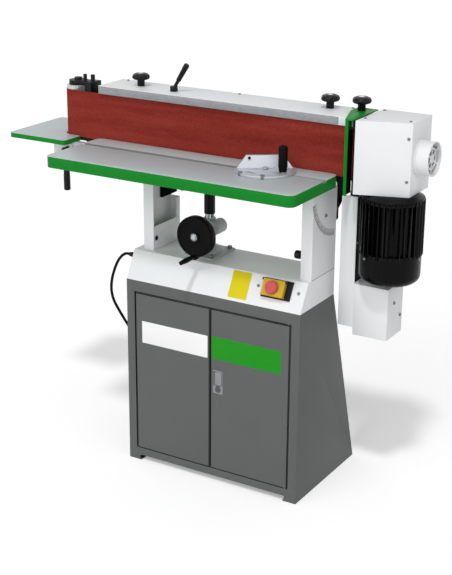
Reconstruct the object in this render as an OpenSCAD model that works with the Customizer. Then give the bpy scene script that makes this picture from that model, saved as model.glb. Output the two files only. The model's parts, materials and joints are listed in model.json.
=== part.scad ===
// Edge sander: a belt head that tilts from upright to flat, with a table that
// rises on a rack post, a mitre gauge and an end table, on a steel cabinet.
// X runs along the belt, Y points to the back and Z points up, in millimetres.
// The origin is the centre of the cabinet's footprint, on the floor.

/* [Cabinet] */
// Width of the cabinet and of the console on it
cab_w = 610; // [520:1:680]
// Depth of the cabinet at the floor
cab_d = 396; // [340:1:460]
// Depth of the cabinet at its top
cab_top_d = 213; // [195:1:260]
// Thickness of the sheet steel
sheet_t = 2; // [1.5:0.5:3]
// Width of the turned-in flanges
flange_w = 45; // [35:1:60]
// Height of the toe space under the front wall
kick_h = 18; // [10:1:40]
// Width of the feet left beside the toe space
foot_w = 40; // [25:1:70]
// Diameter of the floor bolt holes
floor_bolt_d = 11; // [8:0.5:14]
// Floor bolt holes, from the outer faces of the cabinet
floor_bolt_in = 25; // [18:1:34]

/* [Doors] */
// Frame left beside the doors
door_side = 32; // [24:1:60]
// Frame left over the doors
door_over = 40; // [28:1:80]
// Frame left under the doors, from the floor
door_under = 46; // [36:1:80]
// Gap round each door
door_gap = 4; // [3:0.5:6]
// Depth of the door pans
door_d = 18; // [14:1:24]
// Diameter of the hinge pins
hinge_pin_d = 6; // [5:0.5:8]
// Height of the pull in the right door
pull_h = 74; // [60:1:90]
// Width of the pull in the right door
pull_w = 25; // [20:1:32]

/* [Console] */
// Height of the console on the cabinet
console_h = 84; // [70:1:110]
// Setback of the panel from its foot to its top
console_slope = 45; // [30:1:60]
// Width of the switch plate
switch_w = 96; // [84:1:110]
// Height of the switch plate
switch_h = 58; // [50:1:64]
// Middle of the switch, from the console's right side
switch_in = 92; // [80:1:120]

/* [Columns] */
// Height of the columns over the console
col_h = 252; // [230:1:290]
// Depth of the two columns
col_d = 150; // [130:1:160]
// Width of the column flanges
col_w = 36; // [36:1:50]
// Steel thickness of the columns
col_t = 4; // [3:0.5:5]
// Setback of the left column from the console's side
col_left_in = 24; // [10:1:40]
// Height of the plate that closes the foot of a column
col_foot_h = 75; // [50:1:100]

/* [Table] */
// Length of the main table
table_l = 850; // [760:1:920]
// Width of the main table
table_w = 280; // [240:1:320]
// Height of the table's top over the floor
table_h = 999; // [960:1:1050]
// Height of the table's rim
rim_h = 35; // [28:1:40]
// Thickness of the table's plate
plate_t = 8; // [7:0.5:12]
// Thickness of the table's rim
rim_t = 8; // [6:0.5:12]
// Corner radius of the table
table_r = 22; // [10:1:40]
// Offset of the table's middle from the cabinet's middle
table_off = -94; // [-120:1:-70]
// Gap between table and belt
table_gap = 4; // [3:0.5:8]
// Width of the mitre slot
slot_w = 19; // [16:0.5:22]
// Depth of the mitre slot
slot_d = 6; // [4:0.5:6]

/* [Lift] */
// Diameter of the rack post
post_d = 28; // [26:1:34]
// Module of the rack and pinion
rack_m = 2; // [1.5:0.25:2.5]
// Teeth of the pinion
pinion_z = 16; // [14:2:20]
// Height of the pinion shaft over the console
lift_axis_h = 89; // [80:1:100]
// Diameter of the handwheel
wheel_d = 125; // [110:1:140]
// Depth of the handwheel's rim
wheel_rim = 25; // [18:1:30]
// Length of the crank grip
crank_l = 66; // [50:1:80]
// Diameter of the crank grip
crank_d = 16; // [12:1:20]

/* [Mitre gauge] */
// Radius of the half-round base
mitre_r = 90; // [75:1:100]
// Height of the fence
fence_h = 46; // [36:1:60]
// Distance of the pivot from the table's right end
mitre_from_end = 194; // [150:1:260]
// Swivel of the fence in the place shown
mitre_turn = 55; // [0:1:60]
// Height of the handle
handle_h = 76; // [60:1:90]
// Diameter of the handle
handle_d = 27; // [22:1:32]

/* [Belt head] */
// Width of the sanding belt
belt_w = 150; // [120:1:180]
// Thickness of the sanding belt
belt_t = 1; // [0.8:0.1:1.5]
// Diameter of both drums
drum_d = 75; // [66:1:84]
// Belt below the table's surface
belt_low = 7; // [4:1:20]
// Setback of the belt's face from the top back edge of the cabinet
belt_in = 43; // [34:1:60]
// Overhang of the idler axis past the table's left end
idler_over = 109; // [80:1:140]
// Height of the front lip over the belt
lip_h = 26; // [18:1:36]
// Depth of the top cover from lip to back
cover_d = 136; // [126:1:160]
// Drop of the tilt axis under the belt
tilt_drop = 39; // [34:1:50]
// Outer radius of the tilt quadrants
quad_r = 92; // [80:1:100]
// Radius of the quadrants' slot
quad_slot_r = 75; // [60:1:76]

/* [Drive] */
// Width of the channel that carries the motor
chan_w = 50; // [40:1:60]
// Depth of the motor channel
chan_d = 58; // [54:1:62]
// Height of the motor channel
chan_h = 401; // [360:1:420]
// Height of the motor's axis over its foot
motor_foot_h = 97; // [95:1:104]
// Diameter of the motor over its fins
motor_d = 188; // [160:1:190]
// Diameter of the motor shaft
shaft_d = 24; // [19:1:28]
// Height of the drive hood
hood_h = 213; // [200:1:250]
// Outer diameter of the dust port
port_d = 100; // [80:1:110]
// Length of the dust port
port_l = 42; // [30:1:60]
// Width of the capacitor box
cap_w = 110; // [80:1:120]
// Depth of the capacitor box
cap_d = 109; // [90:1:120]
// Height of the capacitor box
cap_h = 160; // [120:1:164]

/* [End table] */
// Length of the end table along the belt
end_l = 226; // [190:1:250]
// Depth of the end table
end_w = 276; // [240:1:300]
// Thickness of the end table
end_t = 16; // [12:1:20]
// End table ahead of the belt
end_front = 86; // [60:1:110]
// Length of the clamp lever's grip
clamp_l = 70; // [50:1:90]

/* [Knobs] */
// Diameter of the star knobs on the head
knob_d = 56; // [44:1:60]
// Diameter of the tilt lock knobs
lock_d = 50; // [40:1:56]

/* [Cord] */
// Diameter of the mains lead
cord_d = 9; // [7:0.5:10]
// Length of the strain relief
gland_l = 28; // [22:1:36]

/* [Hidden] */
$fn = 48;
// Clearances: a running fit, a gap between moving pieces and a fixed seat
fit = 0.05;
gap = 0.3;
over = 1;

// Cabinet and console
front_y = -cab_d / 2;
rear_y = cab_d / 2;
top_rear_y = front_y + cab_top_d;
half_w = cab_w / 2;
table_down = 8;
table_up = 80;
col_top = table_h - rim_h - table_down - 6;
console_top = col_top - col_h;
cab_h = console_top - console_h;
panel_a = atan2(console_h, console_slope);
panel_len = norm([console_h, console_slope]);
floor_x = half_w - floor_bolt_in;
floor_y = cab_d / 2 - floor_bolt_in;

// Doors
open_x = half_w - door_side + door_gap;
open_z0 = door_under - door_gap;
open_z1 = cab_h - door_over + door_gap;
door_x = open_x - door_gap;
door_z0 = door_under;
door_z1 = cab_h - door_over;
hinge_in = hinge_pin_d + sheet_t;
hinge_x = door_x - hinge_in;
hinge_y = front_y + sheet_t + hinge_pin_d / 2 + sheet_t;
pull_x = door_gap + pull_w / 2 + 12;
pull_z = door_z0 + (door_z1 - door_z0) * 0.555;

// Belt, drums and head
drum_r = drum_d / 2;
belt_y = top_rear_y - belt_in;
mid_y = belt_y + belt_t + gap + drum_r;
back_run_y = mid_y + drum_r + gap + belt_t;
belt_z0 = table_h - belt_low;
belt_z1 = belt_z0 + belt_w;
tilt_z = belt_z0 - tilt_drop;
cover_z = belt_z1 + lip_h;
cover_t = 4;
lip_y = belt_y - 8;
cover_y1 = lip_y + cover_d;

// Table
table_x0 = table_off - table_l / 2;
table_x1 = table_off + table_l / 2;
table_y1 = belt_y - table_gap;
table_y0 = table_y1 - table_w;
slot_y = belt_y - mitre_r - 2;

// Columns
col_rear = top_rear_y;
col_front = col_rear - col_d;
col_left = -half_w + col_left_in;
col_right = half_w;
ear_t = 8;
ear_r = 25;
ear_low = quad_slot_r + 34;
ear_front = 60;
ear_slope = 36;
pivot_d = 20;
lock_a = -80;
lock_y = mid_y + quad_slot_r * cos(lock_a);
lock_z = tilt_z + quad_slot_r * sin(lock_a);
lock_stud_d = 12;

// Drive side, clear of the table's end and of the column
chan_x0 = max(table_x1, half_w) + 6;
chan_x1 = chan_x0 + chan_w;
chan_y0 = mid_y - chan_d / 2;
chan_y1 = mid_y + chan_d / 2;
chan_t = 5;
chan_z1 = belt_z0 - 56;
chan_z0 = chan_z1 - chan_h;
drive_x = chan_x1 + motor_foot_h;
idler_x = table_x0 - idler_over;
hood_z0 = belt_z0 - 34;
hood_z1 = hood_z0 + hood_h;
hood_x0 = drive_x - drum_r - 51;
hood_x1 = drive_x + drum_r + 26;
hood_y0 = belt_y - 44;
hood_y1 = hood_y0 + (hood_x1 - hood_x0) * 0.336;
hood_y2 = mid_y + drum_r + 66;
hood_t = 2;
hood_a = atan2(hood_y1 - hood_y0, hood_x1 - hood_x0);
port_y = (hood_y1 + hood_y2) / 2;
port_z = (hood_z0 + hood_z1) / 2 - 3;
port_t = 3;

// Head frame, platen and covers
platen_t = 6;
frame_x0 = idler_x + drum_r + 66;
frame_x1 = chan_x1 - chan_t;
frame_y0 = belt_y + belt_t + gap + platen_t;
frame_y1 = back_run_y - belt_t - 6;
frame_z0 = belt_z0 - 10;
frame_z1 = cover_z - cover_t;
frame_t = 6;
tongue_h = 70;
tongue_t = 20;
cover_x0 = idler_x + drum_r + 75;
cover_x1 = hood_x0 - 24;
guard_t = 2;

// Motor, hung under the hood
motor_z1 = hood_z0;
shield_h = 14;
fins_h = 164;
cowl_h = 86;
cowl_t = 2;
motor_core_d = motor_d - 28;
fins_z1 = motor_z1 - shield_h;
fins_z0 = fins_z1 - fins_h;
cowl_z0 = fins_z0 - cowl_h;
fin_count = 36;
fin_t = 3;
foot_y = 18;
foot_bar = 16;
foot_in = 30;
cowl_r = motor_d / 2 - 3.5;
cowl_round = 26;
fan_d = motor_d - 34;
fan_blades = 7;
drum_z0 = belt_z0 - 3;
drum_z1 = belt_z1 + 3;
cap_x0 = chan_x1;
cap_y0 = chan_y0;
cap_z0 = chan_z0 - 23;

// Table lift
post_x = table_off + 6;
post_y = col_rear - col_d / 2;
axis_z = console_top + lift_axis_h;
pitch_r = rack_m * pinion_z / 2;
pitch = PI * rack_m;
flank_a = 20;
backlash = 0.24;
tooth_high = 0.8 * rack_m;
tooth_low = rack_m;
rack_line = post_d / 2 - tooth_high;
axis_x = post_x + rack_line + pitch_r;
guide_r = post_d / 2 + 5;
guide_foot_r = post_d / 2 + 26;
guide_z1 = axis_z + pitch_r + 8;
base_t = 6;
base_hx = guide_foot_r + 12;
base_hy = col_d / 2 - 8;
pinion_w = 30;
shaft2_d = 16;
case_r = pitch_r + tooth_high + 5;
case_y0 = post_y - 34;
case_y1 = post_y + pinion_w / 2 + 5;
wheel_y = front_y + 4;
crank_r = wheel_d / 2 - 2;
wheel_web = 6;
spindle_d = 8;
rib_h = 6;
pad_h = rib_h;
bracket_t = 10;
bracket_z1 = table_h - plate_t - rib_h;
sleeve_d = post_d + 6;
sleeve_z0 = guide_z1 + table_down + 6;
post_z1 = bracket_z1;
post_z0 = axis_z - table_up - 50;

// Mitre gauge
mitre_x = table_x1 - mitre_from_end;
mitre_t = 8;
mitre_pin_d = 10;
mitre_stud_d = 8;
mitre_stud_r = mitre_r * 0.645;
mitre_z0 = table_h + gap;
fence_t = 10;
mitre_back = fence_t + mitre_pin_d / 2 + 5.5;

// Idler yoke
idler_z1 = belt_z1 + 13;
idler_pin_d = 16;
yoke_z1 = belt_z1 + 27;
yoke_arm = 12;
yoke_z0 = drum_z0 - 1 - yoke_arm;
yoke_x0 = idler_x + drum_r + 8;
yoke_x1 = yoke_x0 + 24;
yoke_hy = drum_r - 9;
yoke_cap_d = drum_d * 0.8;
yoke_cap_hy = drum_r * 0.56;
yoke_eye_d = drum_d * 0.66;
slide_x1 = frame_x0 + 70;
slide_hy = (frame_y1 - frame_y0) / 2 - frame_t - gap;
slide_y = (frame_y0 + frame_y1) / 2;
slide_hz = 40;
slide_z = (frame_z0 + frame_z1) / 2;
release = 12;

// End table with its leg, bracket and clamp
end_z1 = table_h - 2;
end_x1 = idler_x + drum_r - 4;
end_x0 = end_x1 - end_l;
end_y0 = belt_y - end_front;
end_y1 = end_y0 + end_w;
end_wall = 5;
notch_r = drum_r + belt_t + gap + 4;
leg_t = 8;
leg_y1 = mid_y - 24;
leg_y0 = leg_y1 - leg_t;
clamp_x = idler_x - 28;
clamp_z = end_z1 - 57;
clamp_d = 10;
clamp_up = 25;
clamp_down = 8;
leg_out = 56;
leg_in = 16;
leg_cap = 13;
arm_h = 40;
arm_t = 10;
arm_z1 = yoke_z0 - 6;
grip_d = 22;

// Knobs on the head, from the cover's edges
knob_h = 40;
track_x = cover_x0 + 0.13 * (cover_x1 - cover_x0);
track_y = mid_y + 23;
lever_x = cover_x0 + 0.282 * (cover_x1 - cover_x0);
lever_y = mid_y + 5;
lever_l = 92;
lever_a = 32;
cknob_x = cover_x1 - 119;
cknob_y = mid_y + 44;
stop_t = 4;
stop_x = hood_x0 - 31;
stop_top_w = 24;
stop_edge_w = 10;
stop_foot_w = 9;
stop_y0 = belt_y - 45;
stop_y1 = belt_y - 2;
stop_back = cover_y1 - 6;
stop_z0 = belt_z0 - 42;
stop_run = 25;
stop_stud_d = 10;
sknob_x = stop_x - 11;
stop_arm_x = sknob_x - knob_d / 2;
sknob_y = stop_back - stop_run - 14;

// Switch on the sloping panel
switch_x = half_w - switch_in;
switch_v = panel_len * 0.63;
switch_t = 12;
flap_w = switch_w * 0.74;
flap_x = switch_x - switch_w / 2 + flap_w / 2 + 6;
flap_pin_d = 3;
button_d = 18;
mushroom_d = 42;
press = 4;

// Mains lead: gland, route of the free stretch, coil and plug
gland_y = front_y + 60;
gland_z = cab_h + 58;
coil_x = -half_w + 125;
coil_y = rear_y + 84;
coil_z = 6.5;
coil_step = cord_d + 0.8;
coil_in = 39;
coil_turns = 4.5;
coil_sides = 6;
turn_rings = 24;
lead_in = cord_d;
coil_out = coil_in + coil_step * coil_turns / 2;
plug_d = 36;
plug_l = 52;
// Free stretch: out from the cabinet's side, back from the gland, share of the gland's height
cord_run = [
    [28, 0, 1], [37, 0, 1], [48, 0, 0.9955], [61, 0, 0.9805], [76, 0, 0.9506],
    [91, 1, 0.9026], [104, 4, 0.8442], [110, 10, 0.7873], [108, 20, 0.7333], [102, 38, 0.6779],
    [96, 60, 0.6195], [92, 86, 0.5596], [89, 114, 0.4951], [87, 144, 0.4247], [85, 174, 0.3498],
    [83, 206, 0.2749], [80, 240, 0.2], [75, 276, 0.1281], [67, 314, 0.0652], [55, 352, 0.0217],
    [37, 388, 0.0037], [13, 420, 0.0007], [-17, 446, 0.0007], [-51, 466, 0.0015], [-83, 478, 0.0025]
];
route = concat(
    [for (p = cord_run)
        [-half_w - p[0], gland_y + p[1], cord_d / 2 + p[2] * (gland_z - cord_d / 2)]],
    [[coil_x - 2 * lead_in, coil_y + coil_out, coil_z], [coil_x - lead_in, coil_y + coil_out, coil_z]]
);

// Shapes that repeat

// A block between two corners
module block(x0, x1, y0, y1, z0, z1)
    translate([x0, y0, z0]) cube([x1 - x0, y1 - y0, z1 - z0]);

// Round bars along the three axes
module bar_x(d, x0, x1, y, z)
    translate([x0, y, z]) rotate([0, 90, 0]) cylinder(d = d, h = x1 - x0);

module bar_y(d, y0, y1, x, z)
    translate([x, y0, z]) rotate([-90, 0, 0]) cylinder(d = d, h = y1 - y0);

module bar_z(d, z0, z1, x, y)
    translate([x, y, z0]) cylinder(d = d, h = z1 - z0);

// An outline in Y and Z drawn out along X
module along_x(x0, x1)
    translate([x0, 0, 0]) rotate([90, 0, 90]) linear_extrude(x1 - x0) children();

// An outline in X and Z drawn out along Y
module along_y(y0, y1)
    translate([0, y1, 0]) rotate([90, 0, 0]) linear_extrude(y1 - y0) children();

// A hexagon head, standing on the plane of its seat
module hex_head(across, h)
    cylinder(d = across / cos(30), h = h, $fn = 6);

// A star knob with its hub on the plane of its seat
module star_knob(d, h, lobes = 7) {
    cylinder(d = 0.42 * d, h = 0.7 * h);
    difference() {
        rotate_extrude()
            polygon([
                [0, 0.48 * h], [0.3 * d, 0.48 * h], [0.44 * d, 0.55 * h], [0.5 * d, 0.66 * h],
                [0.5 * d, 0.78 * h], [0.44 * d, 0.92 * h], [0.3 * d, h], [0, h]
            ]);
        for (i = [0 : lobes - 1])
            rotate(360 / lobes * i)
                translate([0.62 * d, 0, 0.4 * h])
                    cylinder(d = 0.34 * d, h = h);
    }
}

// A rectangle with round corners
module round_rect(x0, x1, y0, y1, r) {
    translate([x0 + r, y0]) square([x1 - x0 - 2 * r, y1 - y0]);
    translate([x0, y0 + r]) square([x1 - x0, y1 - y0 - 2 * r]);
    for (x = [x0 + r, x1 - r], y = [y0 + r, y1 - r])
        translate([x, y]) circle(r);
}

// Places a child on the sloping panel, with its own Z pointing out of it
module on_panel(u, v)
    translate([u, front_y, cab_h]) rotate([panel_a, 0, 0]) translate([0, v, 0]) children();

// Cabinet

function cab_back(z) = rear_y + (top_rear_y - rear_y) * z / cab_h;

module cabinet_side(t, low, high)
    polygon([
        [front_y + t, low], [cab_back(low) - t, low],
        [cab_back(high) - t, high], [front_y + t, high]
    ]);

module cabinet_shell() color("dimgray") {
    difference() {
        along_x(-half_w, half_w) cabinet_side(0, 0, cab_h);
        along_x(-half_w + sheet_t, half_w - sheet_t)
            cabinet_side(sheet_t, -over, cab_h - sheet_t);
        block(-half_w + flange_w, half_w - flange_w, front_y + flange_w,
              top_rear_y - flange_w, cab_h - sheet_t - over, cab_h + over);
        block(-half_w + foot_w, half_w - foot_w, front_y - over,
              front_y + sheet_t + over, -over, kick_h);
        block(-open_x, open_x, front_y - over, front_y + sheet_t + over, open_z0, open_z1);
    }
    // returns over and under the doors, drilled for the hinge pins
    for (z = [open_z0 - sheet_t, open_z1])
        difference() {
            block(-open_x, open_x, front_y, front_y + door_d + 6, z, z + sheet_t);
            for (s = [-1, 1])
                bar_z(hinge_pin_d + 2 * fit, z - over, z + sheet_t + over, s * hinge_x, hinge_y);
        }
    // floor flanges
    for (s = [-1, 1])
        difference() {
            block(s > 0 ? half_w - flange_w : -half_w, s > 0 ? half_w : -half_w + flange_w,
                  front_y, rear_y, 0, sheet_t + 1);
            for (t = [-1, 1])
                bar_z(floor_bolt_d, -over, sheet_t + 1 + over, s * floor_x, t * floor_y);
        }
}

module door_hinge_pins() color("silver")
    for (s = [-1, 1]) {
        bar_z(hinge_pin_d, door_z1 - sheet_t - 6, open_z1 + sheet_t, s * hinge_x, hinge_y);
        bar_z(hinge_pin_d + 4, open_z1 + sheet_t, open_z1 + sheet_t + 3, s * hinge_x, hinge_y);
        bar_z(hinge_pin_d, open_z0 - sheet_t, door_z0 + sheet_t + 6, s * hinge_x, hinge_y);
        bar_z(hinge_pin_d + 4, open_z0 - sheet_t - 3, open_z0 - sheet_t, s * hinge_x, hinge_y);
    }

// Doors

module door_pan(x0, x1)
    difference() {
        block(x0, x1, front_y, front_y + door_d, door_z0, door_z1);
        block(x0 + sheet_t, x1 - sheet_t, front_y + sheet_t, front_y + door_d + over,
              door_z0 + sheet_t, door_z1 - sheet_t);
    }

module hinge_bores(x)
    bar_z(hinge_pin_d + 2 * fit, door_z0 - over, door_z1 + over, x, hinge_y);

module left_door() color("dimgray")
    difference() {
        door_pan(-door_x, -door_gap / 2);
        hinge_bores(-hinge_x);
    }

pull_top = pull_z + pull_h / 2;
pull_low = pull_z - pull_h / 2;
lock_bore_d = 14;
barrel_z = pull_low + 13;
paddle_z0 = pull_low + 26;
cup_wall = 4;
cup_d = door_d - 4;
pull_axis_z = pull_top - 6;
pull_axis_y = front_y + 5;
pull_pin_d = 4;

module right_door() color("dimgray")
    difference() {
        union() {
            door_pan(door_gap / 2, door_x);
            block(pull_x - pull_w / 2 - cup_wall, pull_x + pull_w / 2 + cup_wall,
                  front_y, front_y + cup_d, paddle_z0 - cup_wall, pull_top + cup_wall);
        }
        block(pull_x - pull_w / 2, pull_x + pull_w / 2, front_y - over, front_y + cup_d - sheet_t,
              paddle_z0, pull_top);
        bar_x(pull_pin_d + 2 * fit, pull_x - pull_w / 2 - 3, pull_x + pull_w / 2 + 3,
              pull_axis_y, pull_axis_z);
        bar_y(lock_bore_d + 2 * fit, front_y - over, front_y + door_d + over, pull_x, barrel_z);
        hinge_bores(hinge_x);
    }

module latch_pull() color("silver") {
    hx = pull_w / 2 - 0.5;
    difference() {
        block(pull_x - hx, pull_x + hx, front_y + 0.5, front_y + 4, paddle_z0 + 0.5, pull_axis_z);
        // finger scoop along the lower edge
        bar_x(5, pull_x - hx + 4, pull_x + hx - 4, front_y + 5, paddle_z0 + 5);
    }
    bar_x(8, pull_x - hx, pull_x + hx, pull_axis_y, pull_axis_z);
    bar_x(pull_pin_d, pull_x - pull_w / 2 - 2.5, pull_x + pull_w / 2 + 2.5, pull_axis_y, pull_axis_z);
}

module lock_barrel() color("silver") {
    cam_y = front_y + door_d + 2;
    difference() {
        union() {
            bar_y(lock_bore_d, front_y - 1, cam_y + 6, pull_x, barrel_z);
            bar_y(lock_bore_d + 5, front_y - 2, front_y - gap, pull_x, barrel_z);
        }
        block(pull_x - 0.8, pull_x + 0.8, front_y - 3, front_y + 4, barrel_z - 4, barrel_z + 4);
    }
    block(pull_x - 7, pull_x + 7, cam_y, cam_y + 3, barrel_z - 7, barrel_z + pull_x + 14);
}

// Console with the sloping panel

module console_box() color("whitesmoke")
    difference() {
        along_x(-half_w, half_w)
            polygon([
                [front_y, cab_h], [top_rear_y, cab_h],
                [top_rear_y, console_top], [front_y + console_slope, console_top]
            ]);
        run = console_slope / console_h;
        skin = sheet_t / sin(panel_a);
        along_x(-half_w + sheet_t, half_w - sheet_t)
            polygon([
                [front_y + skin - over * run, cab_h - over],
                [top_rear_y - sheet_t, cab_h - over],
                [top_rear_y - sheet_t, console_top - sheet_t],
                [front_y + skin + (console_h - sheet_t) * run, console_top - sheet_t]
            ]);
        on_panel(switch_x, switch_v)
            translate([10 - switch_w / 2, 6 - switch_h / 2, -4 * sheet_t])
                cube([switch_w - 20, switch_h - 12, 6 * sheet_t]);
        bar_x(16 + 2 * fit, -half_w - over, -half_w + sheet_t + over, gland_y, gland_z);
        bar_z(post_d + 4, console_top - sheet_t - over, console_top + over, post_x, post_y);
    }

// Columns, ears and tilt pivots

rear_flange_z1 = tilt_z - ear_low - 6;
quad_t = 8;
ear_in = col_t + ear_t;
quad_in = ear_in + gap;
lock_in = quad_in + quad_t + gap;

// A block measured inwards from a column's outer face
module inward(x, s, a, b, y0, y1, z0, z1)
    block(min(x + s * a, x + s * b), max(x + s * a, x + s * b), y0, y1, z0, z1);

module column(x, s) {
    foot_z1 = console_top + col_foot_h;
    inward(x, s, 0, col_t, col_front, col_rear, console_top, col_top);
    inward(x, s, 0, col_w, col_front, col_front + col_t, console_top, col_top);
    inward(x, s, 0, col_w, col_rear - col_t, col_rear, console_top, rear_flange_z1);
    inward(x, s, col_w - col_t, col_w, col_rear - 18, col_rear, console_top, rear_flange_z1);
    inward(x, s, 0, col_w, col_front, col_rear, console_top, console_top + col_t);
    difference() {
        inward(x, s, col_w - col_t, col_w, col_front, col_rear, console_top, foot_z1);
        bar_x(12, x - 2 * col_w, x + 2 * col_w, col_front + 16, console_top + 36);
    }
}

module left_column() color("whitesmoke")
    difference() {
        column(col_left, 1);
        bar_x(12, col_left - over, col_left + col_t + over, lock_y - 60, lock_z - 20);
    }

module right_column() color("whitesmoke") column(col_right, -1);

module ear_outline()
    difference() {
        union() {
            translate([mid_y, tilt_z]) circle(ear_r);
            polygon([
                [mid_y - ear_front, tilt_z - ear_low], [mid_y + ear_r, tilt_z - ear_low],
                [mid_y + ear_r, tilt_z], [mid_y - ear_r, tilt_z],
                [mid_y - ear_front, tilt_z - ear_slope]
            ]);
        }
        translate([mid_y, tilt_z]) circle(d = pivot_d + 2 * fit);
        translate([lock_y, lock_z]) circle(d = lock_stud_d + 2 * fit);
    }

module hinge_ears() color("black") {
    along_x(col_left + col_t, col_left + ear_in) ear_outline();
    along_x(col_right - ear_in, col_right - col_t) ear_outline();
}

module tilt_pivot_bolts() color("silver")
    for (side = [[col_left, 1], [col_right, -1]])
        translate([side[0], mid_y, tilt_z]) rotate([0, 90 * side[1], 0]) {
            translate([0, 0, col_t]) cylinder(d = pivot_d, h = lock_in - col_t);
            translate([0, 0, lock_in]) hex_head(30, 12);
        }

module tilt_knob(x, s)
    translate([x, lock_y, lock_z]) rotate([0, 90 * s, 0]) {
        translate([0, 0, col_t + gap]) cylinder(d = lock_stud_d, h = lock_in);
        translate([0, 0, lock_in]) star_knob(lock_d, 30);
    }

module tilt_knob_left() color("black") tilt_knob(col_left, 1);

module tilt_knob_right() color("black") tilt_knob(col_right, -1);

// Table lift

module lift_guide() color("silver")
    difference() {
        union() {
            block(post_x - base_hx, post_x + base_hx, post_y - base_hy, post_y + base_hy,
                  console_top, console_top + base_t);
            // round foot that runs up into the tube
            translate([post_x, post_y, console_top])
                rotate_extrude()
                    polygon([
                        [0, 0], [guide_foot_r, 0], [guide_foot_r, base_t + 10],
                        [guide_foot_r - 4, base_t + 14], [guide_r + 5, base_t + 18],
                        [guide_r, base_t + 24], [guide_r, guide_z1 - console_top],
                        [0, guide_z1 - console_top]
                    ]);
            bar_y(2 * case_r, case_y0, case_y1, axis_x, axis_z);
        }
        bar_z(post_d + 2 * fit, console_top - over, guide_z1 + over, post_x, post_y);
        bar_y(2 * (pitch_r + tooth_high + 1), post_y - pinion_w / 2 - 1, post_y + pinion_w / 2 + 1,
              axis_x, axis_z);
        bar_y(shaft2_d + 2 * fit, case_y0 - over, case_y1 + over, axis_x, axis_z);
    }

rack_low = -ceil((table_up + 16) / pitch);
rack_high = ceil((table_down + 16) / pitch);

// The gap between two rack teeth, open to the pinion
module rack_gap() {
    deep = rack_line - tooth_low;
    out = post_d / 2 + over;
    half = pitch / 4 + backlash / 2;
    slope = tan(flank_a);
    polygon([
        [deep, -half + tooth_low * slope], [out, -half - (out - rack_line) * slope],
        [out, half + (out - rack_line) * slope], [deep, half - tooth_low * slope]
    ]);
}

module lift_post() color("silver")
    difference() {
        bar_z(post_d, post_z0, post_z1, post_x, post_y);
        for (i = [rack_low : rack_high])
            translate([post_x, 0, axis_z + i * pitch])
                along_y(post_y - post_d, post_y + post_d) rack_gap();
    }

base_r = pitch_r * cos(flank_a);
tip_r = pitch_r + tooth_high;
root_r = pitch_r - tooth_low;

function inv(a) = tan(a) * 180 / PI - a;

// Half the angle that a pinion tooth takes at a radius
function tooth_half(r) = 90 / pinion_z - backlash * 45 / PI / pitch_r + inv(flank_a) - inv(acos(base_r / r));

function polar(r, a) = [r * cos(a), r * sin(a)];

flank = [for (i = [0 : 4]) base_r + (tip_r - base_r) * i / 4];

pinion_points = [for (i = [0 : pinion_z - 1]) let (c = 360 / pinion_z * i) each concat(
    [polar(root_r, c - tooth_half(base_r))],
    [for (r = flank) polar(r, c - tooth_half(r))],
    [for (k = [4 : -1 : 0]) polar(flank[k], c + tooth_half(flank[k]))],
    [polar(root_r, c + tooth_half(base_r))])];

module pinion_shaft() color("silver") {
    bar_y(shaft2_d, wheel_y, case_y1 + 8, axis_x, axis_z);
    translate([axis_x, 0, axis_z])
        along_y(post_y - pinion_w / 2, post_y + pinion_w / 2) polygon(pinion_points);
}

module handwheel() color("black") {
    rim_r = wheel_d / 2;
    rim_round = 4;
    difference() {
        union() {
            translate([axis_x, wheel_y, axis_z]) rotate([-90, 0, 0])
                rotate_extrude($fn = 96) {
                    translate([0, -2]) square([18, wheel_rim + 10]);
                    translate([16, 2]) square([rim_r - 24, wheel_web]);
                    translate([rim_r - 2 * rim_round - 2, rim_round])
                        square([2 * rim_round + 2, wheel_rim - 2 * rim_round]);
                    translate([rim_r - 2 * rim_round - 2, 0]) square([rim_round + 2, wheel_rim]);
                    for (z = [rim_round, wheel_rim - rim_round])
                        translate([rim_r - rim_round, z]) circle(rim_round);
                }
            // lug at the rim for the crank's spindle
            bar_y(crank_d + 6, wheel_y + 0.5, wheel_y + 14, axis_x, axis_z - crank_r);
        }
        bar_y(shaft2_d + 2 * fit, wheel_y - 2 - over, wheel_y + wheel_rim + 8 + over, axis_x, axis_z);
    }
    bar_y(spindle_d, wheel_y - crank_l - 4, wheel_y + 6, axis_x, axis_z - crank_r);
    bar_y(spindle_d + 5, wheel_y - crank_l - 7, wheel_y - crank_l - 4, axis_x, axis_z - crank_r);
}

module crank_grip() color("black")
    translate([axis_x, wheel_y - 2, axis_z - crank_r]) rotate([90, 0, 0])
        rotate_extrude()
            polygon([
                [spindle_d / 2 + fit, 0], [crank_d / 2 - 2, 0], [crank_d / 2 - 1, crank_l * 0.15],
                [crank_d / 2, crank_l * 0.6], [crank_d / 2 - 0.6, crank_l * 0.85],
                [crank_d / 2 - 2, crank_l], [spindle_d / 2 + fit, crank_l]
            ]);

// Main table

module main_table() color("green")
    difference() {
        union() {
            difference() {
                translate([0, 0, table_h - rim_h])
                    linear_extrude(rim_h) round_rect(table_x0, table_x1, table_y0, table_y1, table_r);
                translate([0, 0, table_h - rim_h - over])
                    linear_extrude(rim_h - plate_t + over)
                        round_rect(table_x0 + rim_t, table_x1 - rim_t, table_y0 + rim_t,
                                   table_y1 - rim_t, table_r - rim_t / 2);
            }
            block(table_x0 + 1, table_x1 - 1, slot_y - slot_w / 2 - 8, slot_y + slot_w / 2 + 8,
                  bracket_z1, table_h - 1);
        }
        block(table_x0 - over, table_x1 + over, slot_y - slot_w / 2, slot_y + slot_w / 2,
              table_h - slot_d, table_h + over);
    }

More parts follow.
